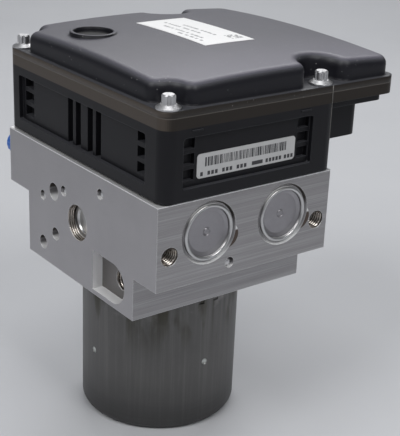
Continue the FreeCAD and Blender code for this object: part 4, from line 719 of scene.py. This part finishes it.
def add_port_plugs():
    """Six blue plugs in place of the plain ones, with ribbed heads."""
    blue = plain_plastic("blue_plug", (0.03, 0.17, 0.62), 0.34, edge=0.25)
    outward = Matrix.Rotation(math.radians(-90), 4, "X")
    down = Matrix.Rotation(math.radians(180), 4, "X")
    wheels = bmesh.new()
    for x in WHEEL_PORTS:
        spot = Matrix.Translation(Vector((x, BLOCK_BACK, WHEEL_PORT_LEVEL)) * MM)
        plug_mesh(wheels, spot @ outward, 15.0)
    masters = bmesh.new()
    for x in MASTER_PORTS:
        plug_mesh(masters, Matrix.Translation(Vector((x, *MASTER_PORT_SPOT)) * MM) @ down, 8.5)
    for name, mesh in (("wheel_port_plugs", wheels), ("master_port_plugs", masters)):
        bmesh.ops.remove_doubles(mesh, verts=mesh.verts, dist=1e-7)
        bmesh.ops.recalc_face_normals(mesh, faces=mesh.faces)
        piece = finish_piece(new_piece(name, mesh), blue)
        piece.data.set_sharp_from_angle(angle=math.radians(35))
        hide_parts("port_plugs")


def add_springs(wire):
    """The six springs again, copied into new pieces that replace the originals."""
    for side in ("left", "right"):
        for kind, joint, axis, travel in SPRINGS:
            name = f"{kind}_spring_{side}"
            data = nodes[name].data.copy()
            data.materials.clear()
            coil = bpy.data.objects.new(f"{name}_coil", data)
            bpy.context.collection.objects.link(coil)
            finish_piece(coil, wire)
            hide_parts(name)
            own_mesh(coil)


def paint_nodes():
    brown = (0.050, 0.041, 0.034)
    black = moulded("housing_black", (0.008, 0.008, 0.010), (0.015, 0.015, 0.018), 0.40,
                    rim=(153.3, 170.0, brown), specular=0.22)
    # The cover's last colour is a painted sheen on its top faces.
    cover = moulded("cover_charcoal", (0.008, 0.008, 0.012), (0.013, 0.013, 0.018), 0.40,
                    grain=0.03, dust=0.7, edge=2.2, rim=(150.0, 160.75, brown), specular=0.36,
                    sheen_colour=(0.138, 0.132, 0.168))
    steel = plain_metal("ground_steel", (0.60, 0.60, 0.60))
    turned = plain_metal("turned_aluminium", (0.66, 0.66, 0.66), 0.34, (1.2, 1.2, 1.2), 0.02, 0.3)
    bright = plain_metal("zinc_screw", (0.66, 0.66, 0.67), 0.40, (2, 2, 2), 0.01, 0.2)
    dull = plain_metal("cap_steel", (0.39, 0.38, 0.40), 0.46, (0.8, 0.8, 0.8), 0.02, 0.3)
    copper = plain_metal("copper_wire", (0.66, 0.33, 0.20), 0.3, (0.2, 0.2, 4.0), 0.05)
    chosen = {
        "hydraulic_block": milled_aluminium(), "motor_can": drawn_can(),
        "ecu_housing": black, "ecu_cover": cover, "ecu_screws": bright,
        "motor_screws": bright, "accumulator_caps": dull, "pump_plugs": turned,
        "top_label": blank_label("top_film", 0.90), "side_label": blank_label("side_film", 0.62),
        "ball_plugs": bright,
        "housing_gasket": plain_plastic("seal_rubber", (0.015, 0.015, 0.015), 0.6),
        "breather_membrane": plain_plastic("membrane", (0.012, 0.012, 0.014), 0.7, 0.05),
        "armature_windings": copper, "coil_windings": copper, "commutator": copper,
        "motor_terminals": copper, "connector_pins": plain_metal("pin_tin", (0.72, 0.68, 0.5)),
        "motor_magnets": plain_plastic("ferrite", (0.05, 0.05, 0.05), 0.6),
        "brush_plate": plain_plastic("brown_moulding", (0.22, 0.11, 0.05), 0.5),
        "brush_left": plain_plastic("carbon", (0.04, 0.04, 0.04), 0.5),
        "circuit_board": plain_plastic("board_green", (0.03, 0.20, 0.09), 0.35),
        "board_components": plain_plastic("chip_black", (0.03, 0.03, 0.03), 0.4),
    }
    chosen["brush_right"] = chosen["brush_left"]
    for name, piece in nodes.items():
        piece.data.materials.clear()
        piece.data.materials.append(chosen.get(name, steel))
    return black


def build():
    add_camera()
    add_floor()
    add_light()
    black = paint_nodes()
    add_crimp_beads()
    add_threads()
    ink = plain_plastic("label_ink", (0.05, 0.05, 0.055), 0.5)
    add_side_label_print(ink)
    add_top_label_print(plain_plastic("faint_ink", (0.36, 0.36, 0.37), 0.5))
    add_housing_trim(black)
    add_port_plugs()
    add_springs(plain_metal("spring_wire", (0.5, 0.5, 0.5), 0.3))
    bpy.context.scene.view_settings.view_transform = "Standard"


build()
